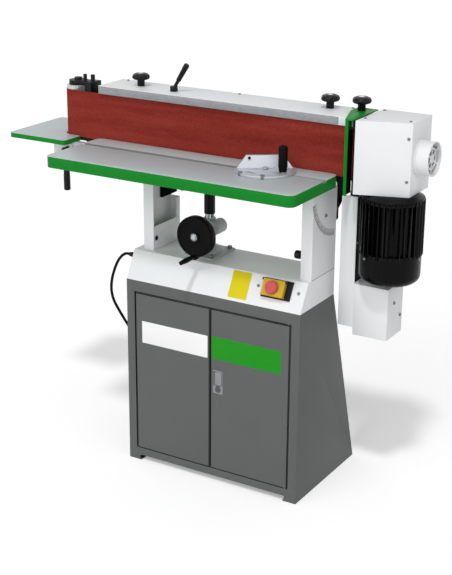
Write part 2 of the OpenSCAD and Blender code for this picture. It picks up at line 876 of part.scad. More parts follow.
module table_bracket() color("black") {
    arm_x = 150;
    arm_y = 26;
    front = table_y0 + rim_t + 40;
    difference() {
        union() {
            block(post_x - arm_x, post_x + arm_x, post_y - arm_y, post_y + arm_y - 6,
                  bracket_z1 - bracket_t, bracket_z1);
            block(post_x - arm_y, post_x + arm_y, front, post_y, bracket_z1 - bracket_t, bracket_z1);
            bar_z(sleeve_d, sleeve_z0, bracket_z1, post_x, post_y);
            // web between the sleeve and the front arm
            along_x(post_x - 4, post_x + 4)
                polygon([
                    [front + 20, bracket_z1 - bracket_t], [post_y, bracket_z1 - bracket_t],
                    [post_y, bracket_z1 - bracket_t - 40]
                ]);
            // pads up to the table's plate
            for (x = [post_x - arm_x + 20, post_x + arm_x - 20])
                bar_z(30, bracket_z1 - 1, bracket_z1 + pad_h, x, post_y - 3);
            bar_z(30, bracket_z1 - 1, bracket_z1 + pad_h, post_x, front + 20);
        }
        bar_z(post_d + 2 * fit, sleeve_z0 - over, bracket_z1 + over, post_x, post_y);
    }
}

// Mitre gauge

module mitre_bar() color("silver") {
    block(mitre_x - mitre_r, mitre_x + 2.1 * mitre_r, slot_y - slot_w / 2 + gap, slot_y + slot_w / 2 - gap,
          table_h - slot_d + gap, table_h);
    bar_z(mitre_pin_d, table_h - 1, mitre_z0 + mitre_t + gap, mitre_x, slot_y);
    bar_z(mitre_pin_d + 8, mitre_z0 + mitre_t + gap, mitre_z0 + mitre_t + 5, mitre_x, slot_y);
    bar_z(mitre_stud_d, table_h - 1, mitre_z0 + mitre_t + 30, mitre_x + mitre_stud_r, slot_y);
}

module mitre_head() color("silver")
    translate([mitre_x, slot_y, mitre_z0]) rotate(-mitre_turn) {
        slot_half = 66;
        cut = mitre_stud_d + 1;
        difference() {
            intersection() {
                cylinder(r = mitre_r, h = mitre_t, $fn = 96);
                translate([-mitre_back, -mitre_r, 0]) cube([2 * mitre_r, 2 * mitre_r, mitre_t]);
            }
            translate([0, 0, -over]) cylinder(d = mitre_pin_d + 2 * fit, h = mitre_t + 2 * over);
            for (a = [-slot_half, -2])
                translate([0, 0, -over]) rotate(a)
                    rotate_extrude(angle = slot_half + 2)
                        translate([mitre_stud_r - cut / 2, 0]) square([cut, mitre_t + 2 * over]);
            for (a = [-slot_half, slot_half])
                rotate(a) translate([mitre_stud_r, 0, -over])
                    cylinder(d = cut, h = mitre_t + 2 * over);
        }
        // fence along the straight edge, with sloping ends
        translate([-mitre_back + 0.5, 0, 0]) rotate([90, 0, 90])
            linear_extrude(fence_t)
                polygon([
                    [-mitre_r + 8, 2], [mitre_r - 8, 2], [mitre_r - 8, mitre_t],
                    [mitre_r * 0.6, fence_h], [-mitre_r * 0.6, fence_h], [-mitre_r + 8, mitre_t]
                ]);
    }

module mitre_handle() color("black")
    translate([mitre_x + mitre_stud_r, slot_y, mitre_z0 + mitre_t + gap]) difference() {
        rotate_extrude()
            polygon([
                [0, 0], [handle_d / 2 - 3, 0], [handle_d / 2 - 1, 6], [handle_d / 2, 14],
                [handle_d / 2, handle_h - 8], [handle_d / 2 - 2, handle_h - 2],
                [handle_d / 2 - 6, handle_h], [0, handle_h]
            ]);
        translate([0, 0, -over]) cylinder(d = mitre_stud_d + 2 * fit, h = 31);
    }

// Belt head

module head_frame() color("black") {
    in_y0 = frame_y0 + frame_t;
    in_y1 = frame_y1 - frame_t;
    difference() {
        block(frame_x0, frame_x1, frame_y0, frame_y1, frame_z0, frame_z1);
        block(slide_x1 + release + 20, frame_x1 - frame_t, in_y0, in_y1,
              frame_z0 + frame_t, frame_z1 - frame_t);
        // guide for the idler yoke's slide
        block(frame_x0 - over, slide_x1 + release + 2, in_y0, in_y1,
              slide_z - slide_hz - gap, slide_z + slide_hz + gap);
    }
    // tongue down into the motor channel
    block(frame_x1 - tongue_t, frame_x1, chan_y0 + chan_t, chan_y1 - chan_t,
          chan_z1 - tongue_h, frame_z0 + over);
}

module quadrant_outline()
    difference() {
        union() {
            circle(ear_r);
            intersection() {
                circle(quad_r);
                polygon([
                    [0, 0], polar(1.5 * quad_r, -92), polar(1.5 * quad_r, -50),
                    polar(1.5 * quad_r, -10), polar(1.5 * quad_r, 26)
                ]);
            }
            translate([-ear_r, 0]) square([2 * ear_r, frame_z0 - tilt_z]);
        }
        circle(d = pivot_d + 2 * fit);
    }

module tilt_quadrants() color("black")
    for (x = [col_left + quad_in, col_right - quad_in - quad_t])
        translate([x, mid_y, tilt_z]) rotate([90, 0, 90]) {
            cut = lock_stud_d + 1;
            difference() {
                linear_extrude(quad_t) quadrant_outline();
                translate([0, 0, -over]) rotate(lock_a)
                    rotate_extrude(angle = 90)
                        translate([quad_slot_r - cut / 2, 0]) square([cut, quad_t + 2 * over]);
                for (a = [lock_a, lock_a + 90])
                    rotate(a) translate([quad_slot_r, 0, -over])
                        cylinder(d = cut, h = quad_t + 2 * over);
            }
        }

module platen() color("silver")
    block(frame_x0 + 6, frame_x1 + 20, belt_y + belt_t + gap, frame_y0,
          belt_z0 + 2, belt_z1 - 2);

module top_cover() color("whitesmoke") {
    block(cover_x0, cover_x1, lip_y, cover_y1, frame_z1, cover_z);
    block(cover_x0, cover_x1, lip_y, lip_y + 3, belt_z1 + 1, cover_z);
}

module rear_guard() color("whitesmoke") {
    guard_z0 = belt_z0 + 10;
    guard_d = 34;
    difference() {
        block(cover_x0, cover_x1, cover_y1 - guard_d, cover_y1, guard_z0, frame_z1);
        block(cover_x0 + guard_t, cover_x1 - guard_t, cover_y1 - guard_d - over, cover_y1 - guard_t,
              guard_z0 + guard_t, frame_z1 - guard_t);
    }
}

module belt_loop(r, grow)
    translate([0, 0, belt_z0 - grow]) {
        for (x = [idler_x, drive_x])
            translate([x, mid_y, 0]) cylinder(r = r, h = belt_w + 2 * grow, $fn = 96);
        translate([idler_x, mid_y - r, 0]) cube([drive_x - idler_x, 2 * r, belt_w + 2 * grow]);
    }

module sanding_belt() color("brown")
    difference() {
        belt_loop(drum_r + gap + belt_t, 0);
        belt_loop(drum_r + gap, over);
    }

// Drive

module motor_channel() color("whitesmoke") {
    block(chan_x1 - chan_t, chan_x1, chan_y0, chan_y1, chan_z0, chan_z1);
    block(chan_x0, chan_x1, chan_y0, chan_y0 + chan_t, chan_z0, chan_z1);
    block(chan_x0, chan_x1, chan_y1 - chan_t, chan_y1, chan_z0, chan_z1);
}

// Folded sheet, open towards the channel
module capacitor_box() color("whitesmoke")
    difference() {
        block(cap_x0, cap_x0 + cap_w, cap_y0, cap_y0 + cap_d, cap_z0, cap_z0 + cap_h);
        block(cap_x0 - over, cap_x0 + cap_w - sheet_t, cap_y0 + sheet_t, cap_y0 + cap_d - sheet_t,
              cap_z0 + sheet_t, cap_z0 + cap_h - sheet_t);
    }

module motor_frame() color("black")
    difference() {
        union() {
            core_r = motor_core_d / 2;
            bar_z(motor_core_d, fins_z0, fins_z1, drive_x, mid_y);
            for (i = [0 : fin_count - 1]) {
                a = 360 / fin_count * i;
                if (abs(a - 180) > 24)
                    translate([drive_x, mid_y, fins_z0]) rotate(a)
                        translate([core_r - 2, -fin_t / 2, 0])
                            cube([motor_d / 2 - core_r + 2, fin_t, fins_h]);
            }
            // rings that close the fins at both ends
            for (z = [fins_z0, fins_z1 - 8])
                bar_z(motor_d - 4, z, z + 8, drive_x, mid_y);
            // feet on the channel
            for (s = [-1, 1])
                block(chan_x1, drive_x - core_r + 10, mid_y + s * foot_y - foot_bar / 2,
                      mid_y + s * foot_y + foot_bar / 2, fins_z0 + foot_in, fins_z1 - foot_in);
        }
        bar_z(shaft_d + 2 * fit, fins_z0 - over, fins_z1 + over, drive_x, mid_y);
    }

module motor_end_shield() color("black")
    translate([drive_x, mid_y, fins_z1]) rotate_extrude($fn = 72) {
        bore = shaft_d / 2 + fit;
        rim = motor_d / 2 - 2;
        polygon([
            [bore, 0], [rim, 0], [rim, shield_h * 0.4], [rim - 14, shield_h - 3],
            [rim - 18, shield_h], [bore, shield_h]
        ]);
    }

cowl_arc = [for (i = [0 : 6]) 90 / 6 * i];

// Half section of the cowl at an inset from its outside
module cowl_half(t, top)
    polygon(concat(
        [[0, t]],
        [for (a = cowl_arc) [
            cowl_r - cowl_round + (cowl_round - t) * sin(a),
            cowl_round - (cowl_round - t) * cos(a)
        ]],
        [[cowl_r - t, top], [0, top]]));

module fan_cowl() color("black")
    translate([drive_x, mid_y, cowl_z0]) difference() {
        rotate_extrude($fn = 72) difference() {
            cowl_half(0, cowl_h);
            cowl_half(cowl_t, cowl_h + over);
        }
        for (i = [0 : 17])
            rotate(20 * i) translate([20, -2.5, -over]) cube([38, 5, cowl_t + 2 * over]);
    }

hood_skin = hood_t / cos(hood_a);
hood_rise = hood_t * tan(hood_a);

module drive_hood() color("whitesmoke")
    difference() {
        translate([0, 0, hood_z0]) linear_extrude(hood_h)
            polygon([
                [hood_x0, hood_y0], [hood_x1, hood_y1], [hood_x1, hood_y2], [hood_x0, hood_y2]
            ]);
        translate([0, 0, hood_z0 + hood_t]) linear_extrude(hood_h - 2 * hood_t)
            polygon([
                [hood_x0 + hood_t, hood_y0 + hood_skin + hood_rise],
                [hood_x1 - hood_t, hood_y1 + hood_skin - hood_rise],
                [hood_x1 - hood_t, hood_y2 - hood_t], [hood_x0 + hood_t, hood_y2 - hood_t]
            ]);
        block(hood_x0 - over, hood_x0 + hood_t + over, belt_y - 12, back_run_y + 12,
              belt_z0 - 8, hood_z1 - 10);
        bar_z(shaft_d + 20, hood_z0 - over, hood_z0 + hood_t + over, drive_x, mid_y);
        bar_x(port_d - 2 * port_t, hood_x1 - hood_t - over, hood_x1 + over, port_y, port_z);
    }

module dust_port() color("whitesmoke") {
    end = hood_x1 + port_l;
    wall_r = port_d / 2 - port_t;
    difference() {
        union() {
            bar_x(port_d, hood_x1, end, port_y, port_z, $fn = 72);
            bar_x(port_d + 8, hood_x1, hood_x1 + 4, port_y, port_z, $fn = 72);
        }
        bar_x(2 * wall_r, hood_x1 - over, end + over, port_y, port_z, $fn = 72);
    }
    // finger guard of hub, ring and spokes
    translate([end - 12, port_y, port_z]) rotate([0, 90, 0]) {
        cylinder(r = wall_r * 0.28, h = 4);
        difference() {
            cylinder(r = wall_r * 0.68, h = 4);
            translate([0, 0, -over]) cylinder(r = wall_r * 0.58, h = 4 + 2 * over);
        }
        for (i = [0 : 5])
            rotate(60 * i) translate([wall_r * 0.2, -2, 0.5]) cube([wall_r * 0.8 + 1, 4, 3]);
    }
}

module pan_screw(d)
    cylinder(d1 = d, d2 = d * 0.7, h = d * 0.35);

module head_screws() color("silver") {
    inset = 14;
    // on the hood's top
    for (p = [[hood_x0 + 12, hood_y0 + 40], [hood_x1 - inset, hood_y1 + 16], [hood_x0 + 12, hood_y2 - 20]])
        translate([p[0], p[1], hood_z1]) pan_screw(9);
    // on the hood's slanting front
    for (share = [0.21, 0.79])
        translate([hood_x1, hood_y1, hood_z0 + share * hood_h]) rotate(hood_a)
            translate([4 - inset, 0, 0]) rotate([90, 0, 0]) pan_screw(9);
    // on the end of the capacitor box
    for (p = [[0.41, 0.67], [0.84, 0.35]])
        translate([cap_x0 + cap_w, cap_y0 + p[0] * cap_d, cap_z0 + p[1] * cap_h])
            rotate([0, 90, 0]) pan_screw(11);
    // round the mouth of the fan cowl
    for (a = [0, 120, 240])
        translate([drive_x, mid_y, fins_z0 - 8]) rotate(a)
            translate([cowl_r, 0, 0]) rotate([0, 90, 0]) pan_screw(9);
    // along the back of the cover
    for (x = [cover_x0 + 30, (cover_x0 + cover_x1) / 2, cover_x1 - 60])
        translate([x, cover_y1 - inset, cover_z]) pan_screw(9);
}

module rotor_shaft() color("silver") {
    fan_z = cowl_z0 + 32;
    bar_z(shaft_d, fan_z - 6, drum_z1 - 8, drive_x, mid_y);
    bar_z(50, fan_z, fan_z + 30, drive_x, mid_y);
    for (i = [0 : fan_blades - 1])
        translate([drive_x, mid_y, fan_z]) rotate(360 / fan_blades * i)
            translate([20, -2, 2]) cube([fan_d / 2 - 20, 4, 26]);
}

module drum_section(low, high, bore_d)
    polygon([
        [bore_d / 2, low + 8], [20, low + 8], [20, low], [drum_r - 1, low], [drum_r, low + 1],
        [drum_r, high - 1], [drum_r - 1, high], [drum_r - 7, high], [drum_r - 7, high - 12],
        [bore_d / 2, high - 12]
    ]);

module drive_drum() color("silver")
    translate([drive_x, mid_y, 0])
        rotate_extrude($fn = 96) drum_section(drum_z0, drum_z1, shaft_d + 2 * fit);

module idler_drum() color("silver")
    translate([idler_x, mid_y, 0])
        rotate_extrude($fn = 96) drum_section(drum_z0, idler_z1, idler_pin_d + 2 * fit);

// Idler yoke, its release lever and the knobs

module idler_yoke() color("black") {
    cap_z = idler_z1 + 1;
    block(yoke_x0, yoke_x1, mid_y - yoke_hy, mid_y + yoke_hy, yoke_z0, yoke_z1);
    block(idler_x, yoke_x0 + over, mid_y - yoke_cap_hy, mid_y + yoke_cap_hy, cap_z, yoke_z1);
    bar_z(yoke_cap_d, cap_z, yoke_z1, idler_x, mid_y);
    block(idler_x, yoke_x0 + over, mid_y - 20, mid_y + 20, yoke_z0, yoke_z0 + yoke_arm);
    bar_z(yoke_eye_d, yoke_z0, yoke_z0 + yoke_arm, idler_x, mid_y);
    block(yoke_x1 - over, slide_x1, slide_y - slide_hy, slide_y + slide_hy,
          slide_z - slide_hz, slide_z + slide_hz);
    bar_z(idler_pin_d, yoke_z0, yoke_z1 + 8, idler_x, mid_y);
    // tracking screws on the cap
    translate([idler_x, mid_y, yoke_z1 - over]) hex_head(24, 8 + over);
    bar_z(12, yoke_z1 - over, yoke_z1 + 20, idler_x + 27, mid_y);
    bar_z(14, yoke_z1 - over, yoke_z1 + 21, (yoke_x0 + yoke_x1) / 2, mid_y);
}

module tension_lever() color("black")
    translate([lever_x, lever_y, cover_z + gap]) {
        cylinder(d = 24, h = 16);
        translate([0, 0, 9]) rotate([0, lever_a, 0])
            rotate_extrude()
                polygon([
                    [0, 0], [5.5, 0], [5.5, 0.3 * lever_l], [7.5, 0.34 * lever_l], [9, 0.95 * lever_l],
                    [7, lever_l], [0, lever_l]
                ]);
    }

module tracking_knob() color("black")
    translate([track_x, track_y, cover_z + gap]) star_knob(knob_d, knob_h);

module cover_knob() color("black")
    translate([cknob_x, cknob_y, cover_z + gap]) star_knob(knob_d, knob_h);

module stop_knob() color("black")
    translate([sknob_x, sknob_y, cover_z + gap]) {
        cylinder(d = stop_stud_d, h = stop_t + 3);
        translate([0, 0, stop_t + gap]) star_knob(knob_d, knob_h);
    }

module work_stop() color("green") {
    seat = cover_z + gap;
    cut = stop_stud_d + 1;
    top = seat + stop_t;
    // web that the work bears on
    along_x(stop_x, stop_x + stop_t)
        polygon([
            [stop_y0, stop_z0], [stop_y1, stop_z0], [stop_y1, belt_z1 - 4],
            [lip_y - 1.5, belt_z1 - 4], [lip_y - 1.5, top], [stop_y0, top]
        ]);
    // front flange, which narrows towards its foot
    along_y(stop_y0, stop_y0 + stop_t)
        polygon([
            [stop_x, stop_z0], [stop_x + stop_foot_w, stop_z0],
            [stop_x + stop_edge_w, top], [stop_x, top]
        ]);
    // arm over the cover, with the slot for the knob's stud
    difference() {
        translate([0, 0, seat]) linear_extrude(stop_t)
            polygon([
                [stop_x, stop_y0], [stop_x + stop_top_w, stop_y0], [stop_x + stop_top_w, stop_back],
                [stop_arm_x, stop_back], [stop_arm_x, sknob_y - 12]
            ]);
        for (y = [sknob_y, sknob_y + stop_run])
            bar_z(cut, seat - over, top + over, sknob_x, y);
        block(sknob_x - cut / 2, sknob_x + cut / 2, sknob_y, sknob_y + stop_run,
              seat - over, top + over);
    }
}

// End table

module end_outline(inset)
    difference() {
        round_rect(end_x0 + inset, end_x1 - inset, end_y0 + inset, end_y1 - inset, 12 - inset / 2);
        translate([idler_x, mid_y]) circle(notch_r + inset);
        translate([idler_x, mid_y - notch_r - inset])
            square([end_x1 - idler_x + over, 2 * (notch_r + inset)]);
    }

module end_table() color("green") {
    end_plate = 6;
    leg_x0 = clamp_x - leg_out;
    leg_x1 = clamp_x + leg_in;
    cut = clamp_d + 0.6;
    difference() {
        translate([0, 0, end_z1 - end_t]) linear_extrude(end_t) end_outline(0);
        translate([0, 0, end_z1 - end_t - over])
            linear_extrude(end_t - end_plate + over) end_outline(end_wall);
    }
    difference() {
        union() {
            block(leg_x0, leg_x1, leg_y0, leg_y1, clamp_z - clamp_up - leg_in,
                  clamp_z + clamp_down + leg_cap);
            block(leg_x0, idler_x - notch_r - 2, leg_y0, leg_y1, clamp_z, end_z1 - 2);
        }
        for (z = [clamp_z - clamp_up, clamp_z + clamp_down])
            bar_y(cut, leg_y0 - over, leg_y1 + over, clamp_x, z);
        block(clamp_x - cut / 2, clamp_x + cut / 2, leg_y0 - over, leg_y1 + over,
              clamp_z - clamp_up, clamp_z + clamp_down);
    }
}

module end_bracket() color("whitesmoke") {
    arm_y0 = leg_y1 + gap;
    riser_x = frame_x0 + 8;
    riser_w = 60;
    difference() {
        block(clamp_x - 18, riser_x + riser_w, arm_y0, arm_y0 + arm_t, arm_z1 - arm_h, arm_z1);
        bar_y(clamp_d + 2 * fit, arm_y0 - over, arm_y0 + arm_t + over, clamp_x, clamp_z);
    }
    block(riser_x, riser_x + riser_w, arm_y0, frame_y1 - 4, arm_z1 - 12, frame_z0);
}

module end_clamp() color("black") {
    hub_y1 = leg_y0 - gap;
    hub_y0 = hub_y1 - 18;
    hub_y = (hub_y0 + hub_y1) / 2;
    neck_l = 62;
    grip_z1 = clamp_z - neck_l;
    bar_y(24, hub_y0, hub_y1, clamp_x, clamp_z);
    bar_y(clamp_d, hub_y1 - over, leg_y1 + gap + arm_t, clamp_x, clamp_z);
    bar_z(10, grip_z1 - over, clamp_z, clamp_x, hub_y);
    translate([clamp_x, hub_y, grip_z1 - clamp_l])
        rotate_extrude()
            polygon([
                [0, 0], [grip_d / 2 - 2, 0], [grip_d / 2, 3], [grip_d / 2, clamp_l * 0.6],
                [grip_d / 2 - 1, clamp_l - 3], [grip_d / 2 - 3, clamp_l], [0, clamp_l]
            ]);
}

// Switch

plate_h = 4;
lug_t = 4;
flap_v = switch_h - 8;
flap_axis_v = switch_v + flap_v / 2 - 2.5;
flap_axis_z = plate_h + 12;
stop_u = flap_x - 2;
start_u = flap_x + 21;

module switch_base() color("dimgray")
    difference() {
        union() {
            on_panel(switch_x, switch_v)
                translate([-switch_w / 2, -switch_h / 2, 0]) cube([switch_w, switch_h, plate_h]);
            on_panel(switch_x, switch_v)
                translate([12 - switch_w / 2, 8 - switch_h / 2, -26])
                    cube([switch_w - 24, switch_h - 16, 27]);
            // lugs that hold the flap's pins
            for (s = [-1, 1])
                on_panel(flap_x + s * (flap_w / 2 + gap + lug_t / 2), flap_axis_v)
                    translate([-lug_t / 2, -3.5, plate_h - over]) cube([lug_t, 7, 17]);
        }
        on_panel(flap_x, flap_axis_v)
            translate([-flap_w, 0, flap_axis_z]) rotate([0, 90, 0])
                cylinder(d = flap_pin_d + 2 * fit, h = 2 * flap_w);
        for (u = [stop_u, start_u])
            on_panel(u, switch_v)
                translate([0, 0, -12]) cylinder(d = button_d + 2 * fit, h = 12 + plate_h + over);
    }

module switch_flap() color("gold") {
    wall = 2.5;
    low = plate_h + gap;
    difference() {
        on_panel(flap_x, switch_v)
            translate([-flap_w / 2, -flap_v / 2, low]) cube([flap_w, flap_v, 15]);
        on_panel(flap_x, switch_v)
            translate([wall - flap_w / 2, wall - flap_v / 2, low - over])
                cube([flap_w - 2 * wall, flap_v - 2 * wall, 15 - wall + over]);
        on_panel(stop_u, switch_v)
            cylinder(d = 12 + 2 * fit, h = 40);
    }
    on_panel(flap_x, flap_axis_v)
        translate([-flap_w / 2 - lug_t, 0, flap_axis_z]) rotate([0, 90, 0])
            cylinder(d = flap_pin_d, h = flap_w + 2 * lug_t);
}

module stop_mushroom() color("red")
    on_panel(stop_u, switch_v) {
        top = plate_h + gap + 15;
        translate([0, 0, top - 5]) cylinder(d = 12, h = 11);
        translate([0, 0, top - 6]) cylinder(d = 17, h = 3);
        translate([0, 0, top + press + 1]) cylinder(d1 = mushroom_d, d2 = mushroom_d - 6, h = 9);
    }

module button(u)
    on_panel(u, switch_v)
        translate([0, 0, -8]) cylinder(d = button_d, h = 8 + plate_h + 5);

module start_button() color("green") button(start_u);

module off_button() color("red") button(stop_u);

// Fixings on the stand

module stand_bolts() color("silver") {
    for (x = [post_x - base_hx + 12, post_x + base_hx - 12],
         y = [post_y - base_hy + 12, post_y + base_hy - 12])
        translate([x, y, console_top + base_t]) hex_head(14, 8);
    translate([col_right, col_rear - col_d * 0.47, col_top - 73]) rotate([0, 90, 0]) pan_screw(12);
    for (u = [switch_x - switch_w / 2 - 16, switch_x + switch_w / 2 + 22])
        on_panel(u, switch_v) pan_screw(10);
}

// Mains lead

module cord_gland() color("black")
    translate([-half_w, gland_y, gland_z]) rotate([0, -90, 0]) {
        translate([0, 0, -sheet_t - 6]) cylinder(d = 16, h = sheet_t + 7);
        translate([0, 0, -sheet_t - 6]) hex_head(22, 6);
        hex_head(24, 7);
        translate([0, 0, 6]) cylinder(d1 = 20, d2 = cord_d + 4, h = gland_l - 6);
    }

function curve(a, b, c, d, t) =
    0.5 * (2 * b + (c - a) * t + (2 * a - 5 * b + 4 * c - d) * t * t
           + (3 * b - a - 3 * c + d) * t * t * t);

steps = 3;
last = len(route) - 1;
cord_path = concat(
    [route[0]],
    [for (i = [1 : last - 2], k = [0 : steps - 1])
        curve(route[i - 1], route[i], route[i + 1], route[i + 2], k / steps)],
    [route[last - 1], route[last]]);

function unit(v) = v / norm(v);

// Direction of a path at one of its points
function along(path, i) =
    unit(path[min(i + 1, len(path) - 1)] - path[max(i - 1, 0)]);

// Sideways directions carried along a path without twist
function side_list(path, i = 0, acc = []) =
    i == len(path) ? acc
    : let (t = along(path, i),
           p = i == 0 ? cross(t, [0, 0.01, 1]) : acc[i - 1])
      side_list(path, i + 1, concat(acc, [unit(p - (p * t) * t)]));

module tube(path, d, sides) {
    sideways = side_list(path);
    rings = [for (i = [0 : len(path) - 1]) let (t = along(path, i), u = sideways[i], w = cross(t, u))
        for (k = [0 : sides - 1])
            path[i] + d / 2 * (cos(360 / sides * k) * u + sin(360 / sides * k) * w)];
    n = len(path);
    faces = concat(
        [[for (k = [sides - 1 : -1 : 0]) k]],
        [for (i = [0 : n - 2], k = [0 : sides - 1]) let (m = (k + 1) % sides)
            [i * sides + k, i * sides + m, (i + 1) * sides + m, (i + 1) * sides + k]],
        [[for (k = [0 : sides - 1]) (n - 1) * sides + k]]);
    polyhedron(points = rings, faces = faces, convexity = 8);
}

module mains_cord() color("black") tube(cord_path, cord_d, 10);

function ease(t) = t <= 0 ? 0 : t >= 1 ? 1 : t * t * (3 - 2 * t);

// A point of the coil after a number of turns, wound inwards, up and outwards
function coil_at(t) =
    let (r = coil_in + coil_step * abs(t - coil_turns / 2), a = 90 - 360 * t)
    [coil_x + r * cos(a), coil_y + r * sin(a),
     coil_z + coil_step * ease((t - coil_turns / 2) * 2 + 0.5)];

coil_ring_count = turn_rings * coil_turns;
coil_end = coil_at(coil_turns);
plug_z = plug_d / 2;
tail = 24;
coil_path = concat(
    [[coil_x - lead_in, coil_y + coil_out, coil_z]],
    [for (i = [0 : coil_ring_count]) coil_at(i / turn_rings)],
    [coil_end + [-tail / 2, 0, (plug_z - coil_end[2]) / 2], [coil_x - tail, coil_end[1], plug_z],
     [coil_x - tail - lead_in, coil_end[1], plug_z]]);

// Least gap between one turn of the coil and another
coil_gap = min([for (i = [0 : coil_ring_count - 18], j = [i + 17 : coil_ring_count])
    norm(coil_path[i] - coil_path[j])]) - cord_d;
echo(coil_gap = coil_gap);

module cord_coil() color("black") tube(coil_path, cord_d, coil_sides);

module cord_tie() color("black") {
    in_r = coil_in + coil_step * 0.5 - cord_d / 2 - 0.5;
    out_r = coil_in + coil_step * 1.5 + cord_d / 2 + 0.5;
    low = coil_z - cord_d / 2 - 0.5;
    high = coil_z + coil_step + cord_d / 2 + 0.5;
    t = 1.2;
    difference() {
        block(coil_x - out_r - t, coil_x - in_r + t, coil_y - 4, coil_y + 4, low - t, high + t);
        block(coil_x - out_r, coil_x - in_r, coil_y - 5, coil_y + 5, low, high);
    }
}

module mains_plug() color("black")
    translate([coil_x - tail - lead_in, coil_end[1], plug_z]) rotate([0, -90, 0]) {
        cylinder(d1 = cord_d + 4, d2 = 18, h = 16);
        translate([0, 0, 14]) cylinder(d1 = 22, d2 = plug_d, h = 10);
        translate([0, 0, 24]) cylinder(d = plug_d, h = plug_l - 24);
        for (s = [-1, 1])
            translate([0, s * 9.5, plug_l - over]) cylinder(d = 4.8, h = 19 + over);
    }

// The sub-parts, one by one or all together
cabinet_shell();
door_hinge_pins();
console_box();
left_column();
right_column();
hinge_ears();
tilt_pivot_bolts();
lift_guide();
stand_bolts();
switch_base();
cord_gland();
mains_cord();
cord_coil();
cord_tie();
mains_plug();
left_door();
right_door();
latch_pull();
lock_barrel();
switch_flap();
stop_mushroom();
start_button();
off_button();
main_table();
table_bracket();
lift_post();
pinion_shaft();
handwheel();
crank_grip();
mitre_bar();
mitre_head();
mitre_handle();
head_frame();
tilt_quadrants();
platen();
top_cover();
rear_guard();
sanding_belt();
motor_channel();
capacitor_box();
motor_frame();
motor_end_shield();
fan_cowl();
drive_hood();
dust_port();
head_screws();
rotor_shaft();
drive_drum();
idler_yoke();
idler_drum();
tension_lever();
tracking_knob();
work_stop();
stop_knob();
cover_knob();
end_table();
end_bracket();
end_clamp();
tilt_knob_left();
tilt_knob_right();
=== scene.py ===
import json
import math

import bpy
from mathutils import Matrix, Vector

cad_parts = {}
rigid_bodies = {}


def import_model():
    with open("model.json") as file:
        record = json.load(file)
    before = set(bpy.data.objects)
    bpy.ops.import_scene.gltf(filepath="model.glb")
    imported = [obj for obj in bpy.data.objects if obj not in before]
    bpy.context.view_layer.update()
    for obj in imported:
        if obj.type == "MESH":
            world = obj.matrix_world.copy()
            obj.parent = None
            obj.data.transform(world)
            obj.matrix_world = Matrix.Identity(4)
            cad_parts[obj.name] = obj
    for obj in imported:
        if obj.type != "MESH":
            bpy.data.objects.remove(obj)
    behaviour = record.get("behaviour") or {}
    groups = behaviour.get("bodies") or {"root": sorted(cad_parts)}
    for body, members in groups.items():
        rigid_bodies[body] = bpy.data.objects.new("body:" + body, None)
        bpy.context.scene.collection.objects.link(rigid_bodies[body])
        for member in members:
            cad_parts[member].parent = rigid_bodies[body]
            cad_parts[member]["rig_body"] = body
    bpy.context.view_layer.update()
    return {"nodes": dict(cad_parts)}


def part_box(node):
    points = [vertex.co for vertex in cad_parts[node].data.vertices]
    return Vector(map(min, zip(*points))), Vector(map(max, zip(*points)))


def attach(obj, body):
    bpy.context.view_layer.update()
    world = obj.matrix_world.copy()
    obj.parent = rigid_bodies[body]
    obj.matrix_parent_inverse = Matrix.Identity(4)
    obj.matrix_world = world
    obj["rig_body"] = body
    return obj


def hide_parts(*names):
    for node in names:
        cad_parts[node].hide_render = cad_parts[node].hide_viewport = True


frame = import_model()

# Lengths are in metres, apart from the lead's and those whose name ends in mm
MM = 0.001
X, Y, Z = 0, 1, 2
RIGHTWARDS = Vector((1, 0, 0))
FORWARDS = Vector((0, -1, 0))
UPWARDS = Vector((0, 0, 1))
# points closer together than this count as one
TOUCH = 0.01 * MM


# Camera, at the place and angle that the picture was taken from

CAMERA_PLACE = (1.9488, -3.3538, 1.9578)
CAMERA_YAW = math.radians(30.97)
CAMERA_PITCH = math.radians(19.54)
CAMERA_ROLL = math.radians(0.4)
CAMERA_LENS = 82.56
SENSOR_WIDTH = 36
VIEW_DEPTH = 100


def place_camera():
    """Sets up the camera and makes it the scene's own."""
    bpy.ops.object.camera_add(location=CAMERA_PLACE)
    camera = bpy.context.object
    turn = (
        Matrix.Rotation(CAMERA_YAW, 3, "Z")
        @ Matrix.Rotation(math.pi / 2 - CAMERA_PITCH, 3, "X")
        @ Matrix.Rotation(CAMERA_ROLL, 3, "Z")
    )
    camera.rotation_euler = turn.to_euler()
    camera.data.lens = CAMERA_LENS
    camera.data.sensor_width = SENSOR_WIDTH
    camera.data.clip_end = VIEW_DEPTH
    bpy.context.scene.camera = camera


# Materials

# most of a noise texture's values lie between these two
NOISE_LOW, NOISE_HIGH = 0.3, 0.7
ENAMEL_CLOUD_MM = 130
# planing lines of 0.5 mm wouldn't show, so they are drawn 2.5 mm wide
PLANING_MM = 2.5
# grit of 0.2 mm wouldn't show, so it is drawn 3 mm wide
GRIT_MM = 3
STREAK_MM = 40
# patterns drawn out lengthways
ALONG_TABLE = (0.03, 1, 1)
ALONG_BELT = (0.12, 1, 1)
RIM_CLOUD_MM = 120
GREEN = ("02781c", "068624")
IRON = ("b3bcbe", "c5cdcf")
UNDERSIDE = "e6e8e9"
# painted shade: the slot's floor and walls are coloured this darker grey
SLOT_SHADE = "808383"
# the bare iron of a table reaches this far down over its edge, and is metal by this share
BARE_DEPTH = 0.9 * MM
BARE_METAL = 0.2
MAIN_RIM = 60 * MM
END_RIM = 16.2 * MM
SLOT_FREE = 1.2 * MM
SLOT_DEPTH = 6.5 * MM
# the end table has no slot, so its slot is out of reach and has no width
NO_SLOT_Y = 1.0


def colour(code):
    """Linear colour of an sRGB hex code such as 7a2620."""
    parts = [int(code[i : i + 2], 16) / 255 for i in (0, 2, 4)]
    linear = [c / 12.92 if c <= 0.04045 else ((c + 0.055) / 1.055) ** 2.4 for c in parts]
    return (*linear, 1.0)


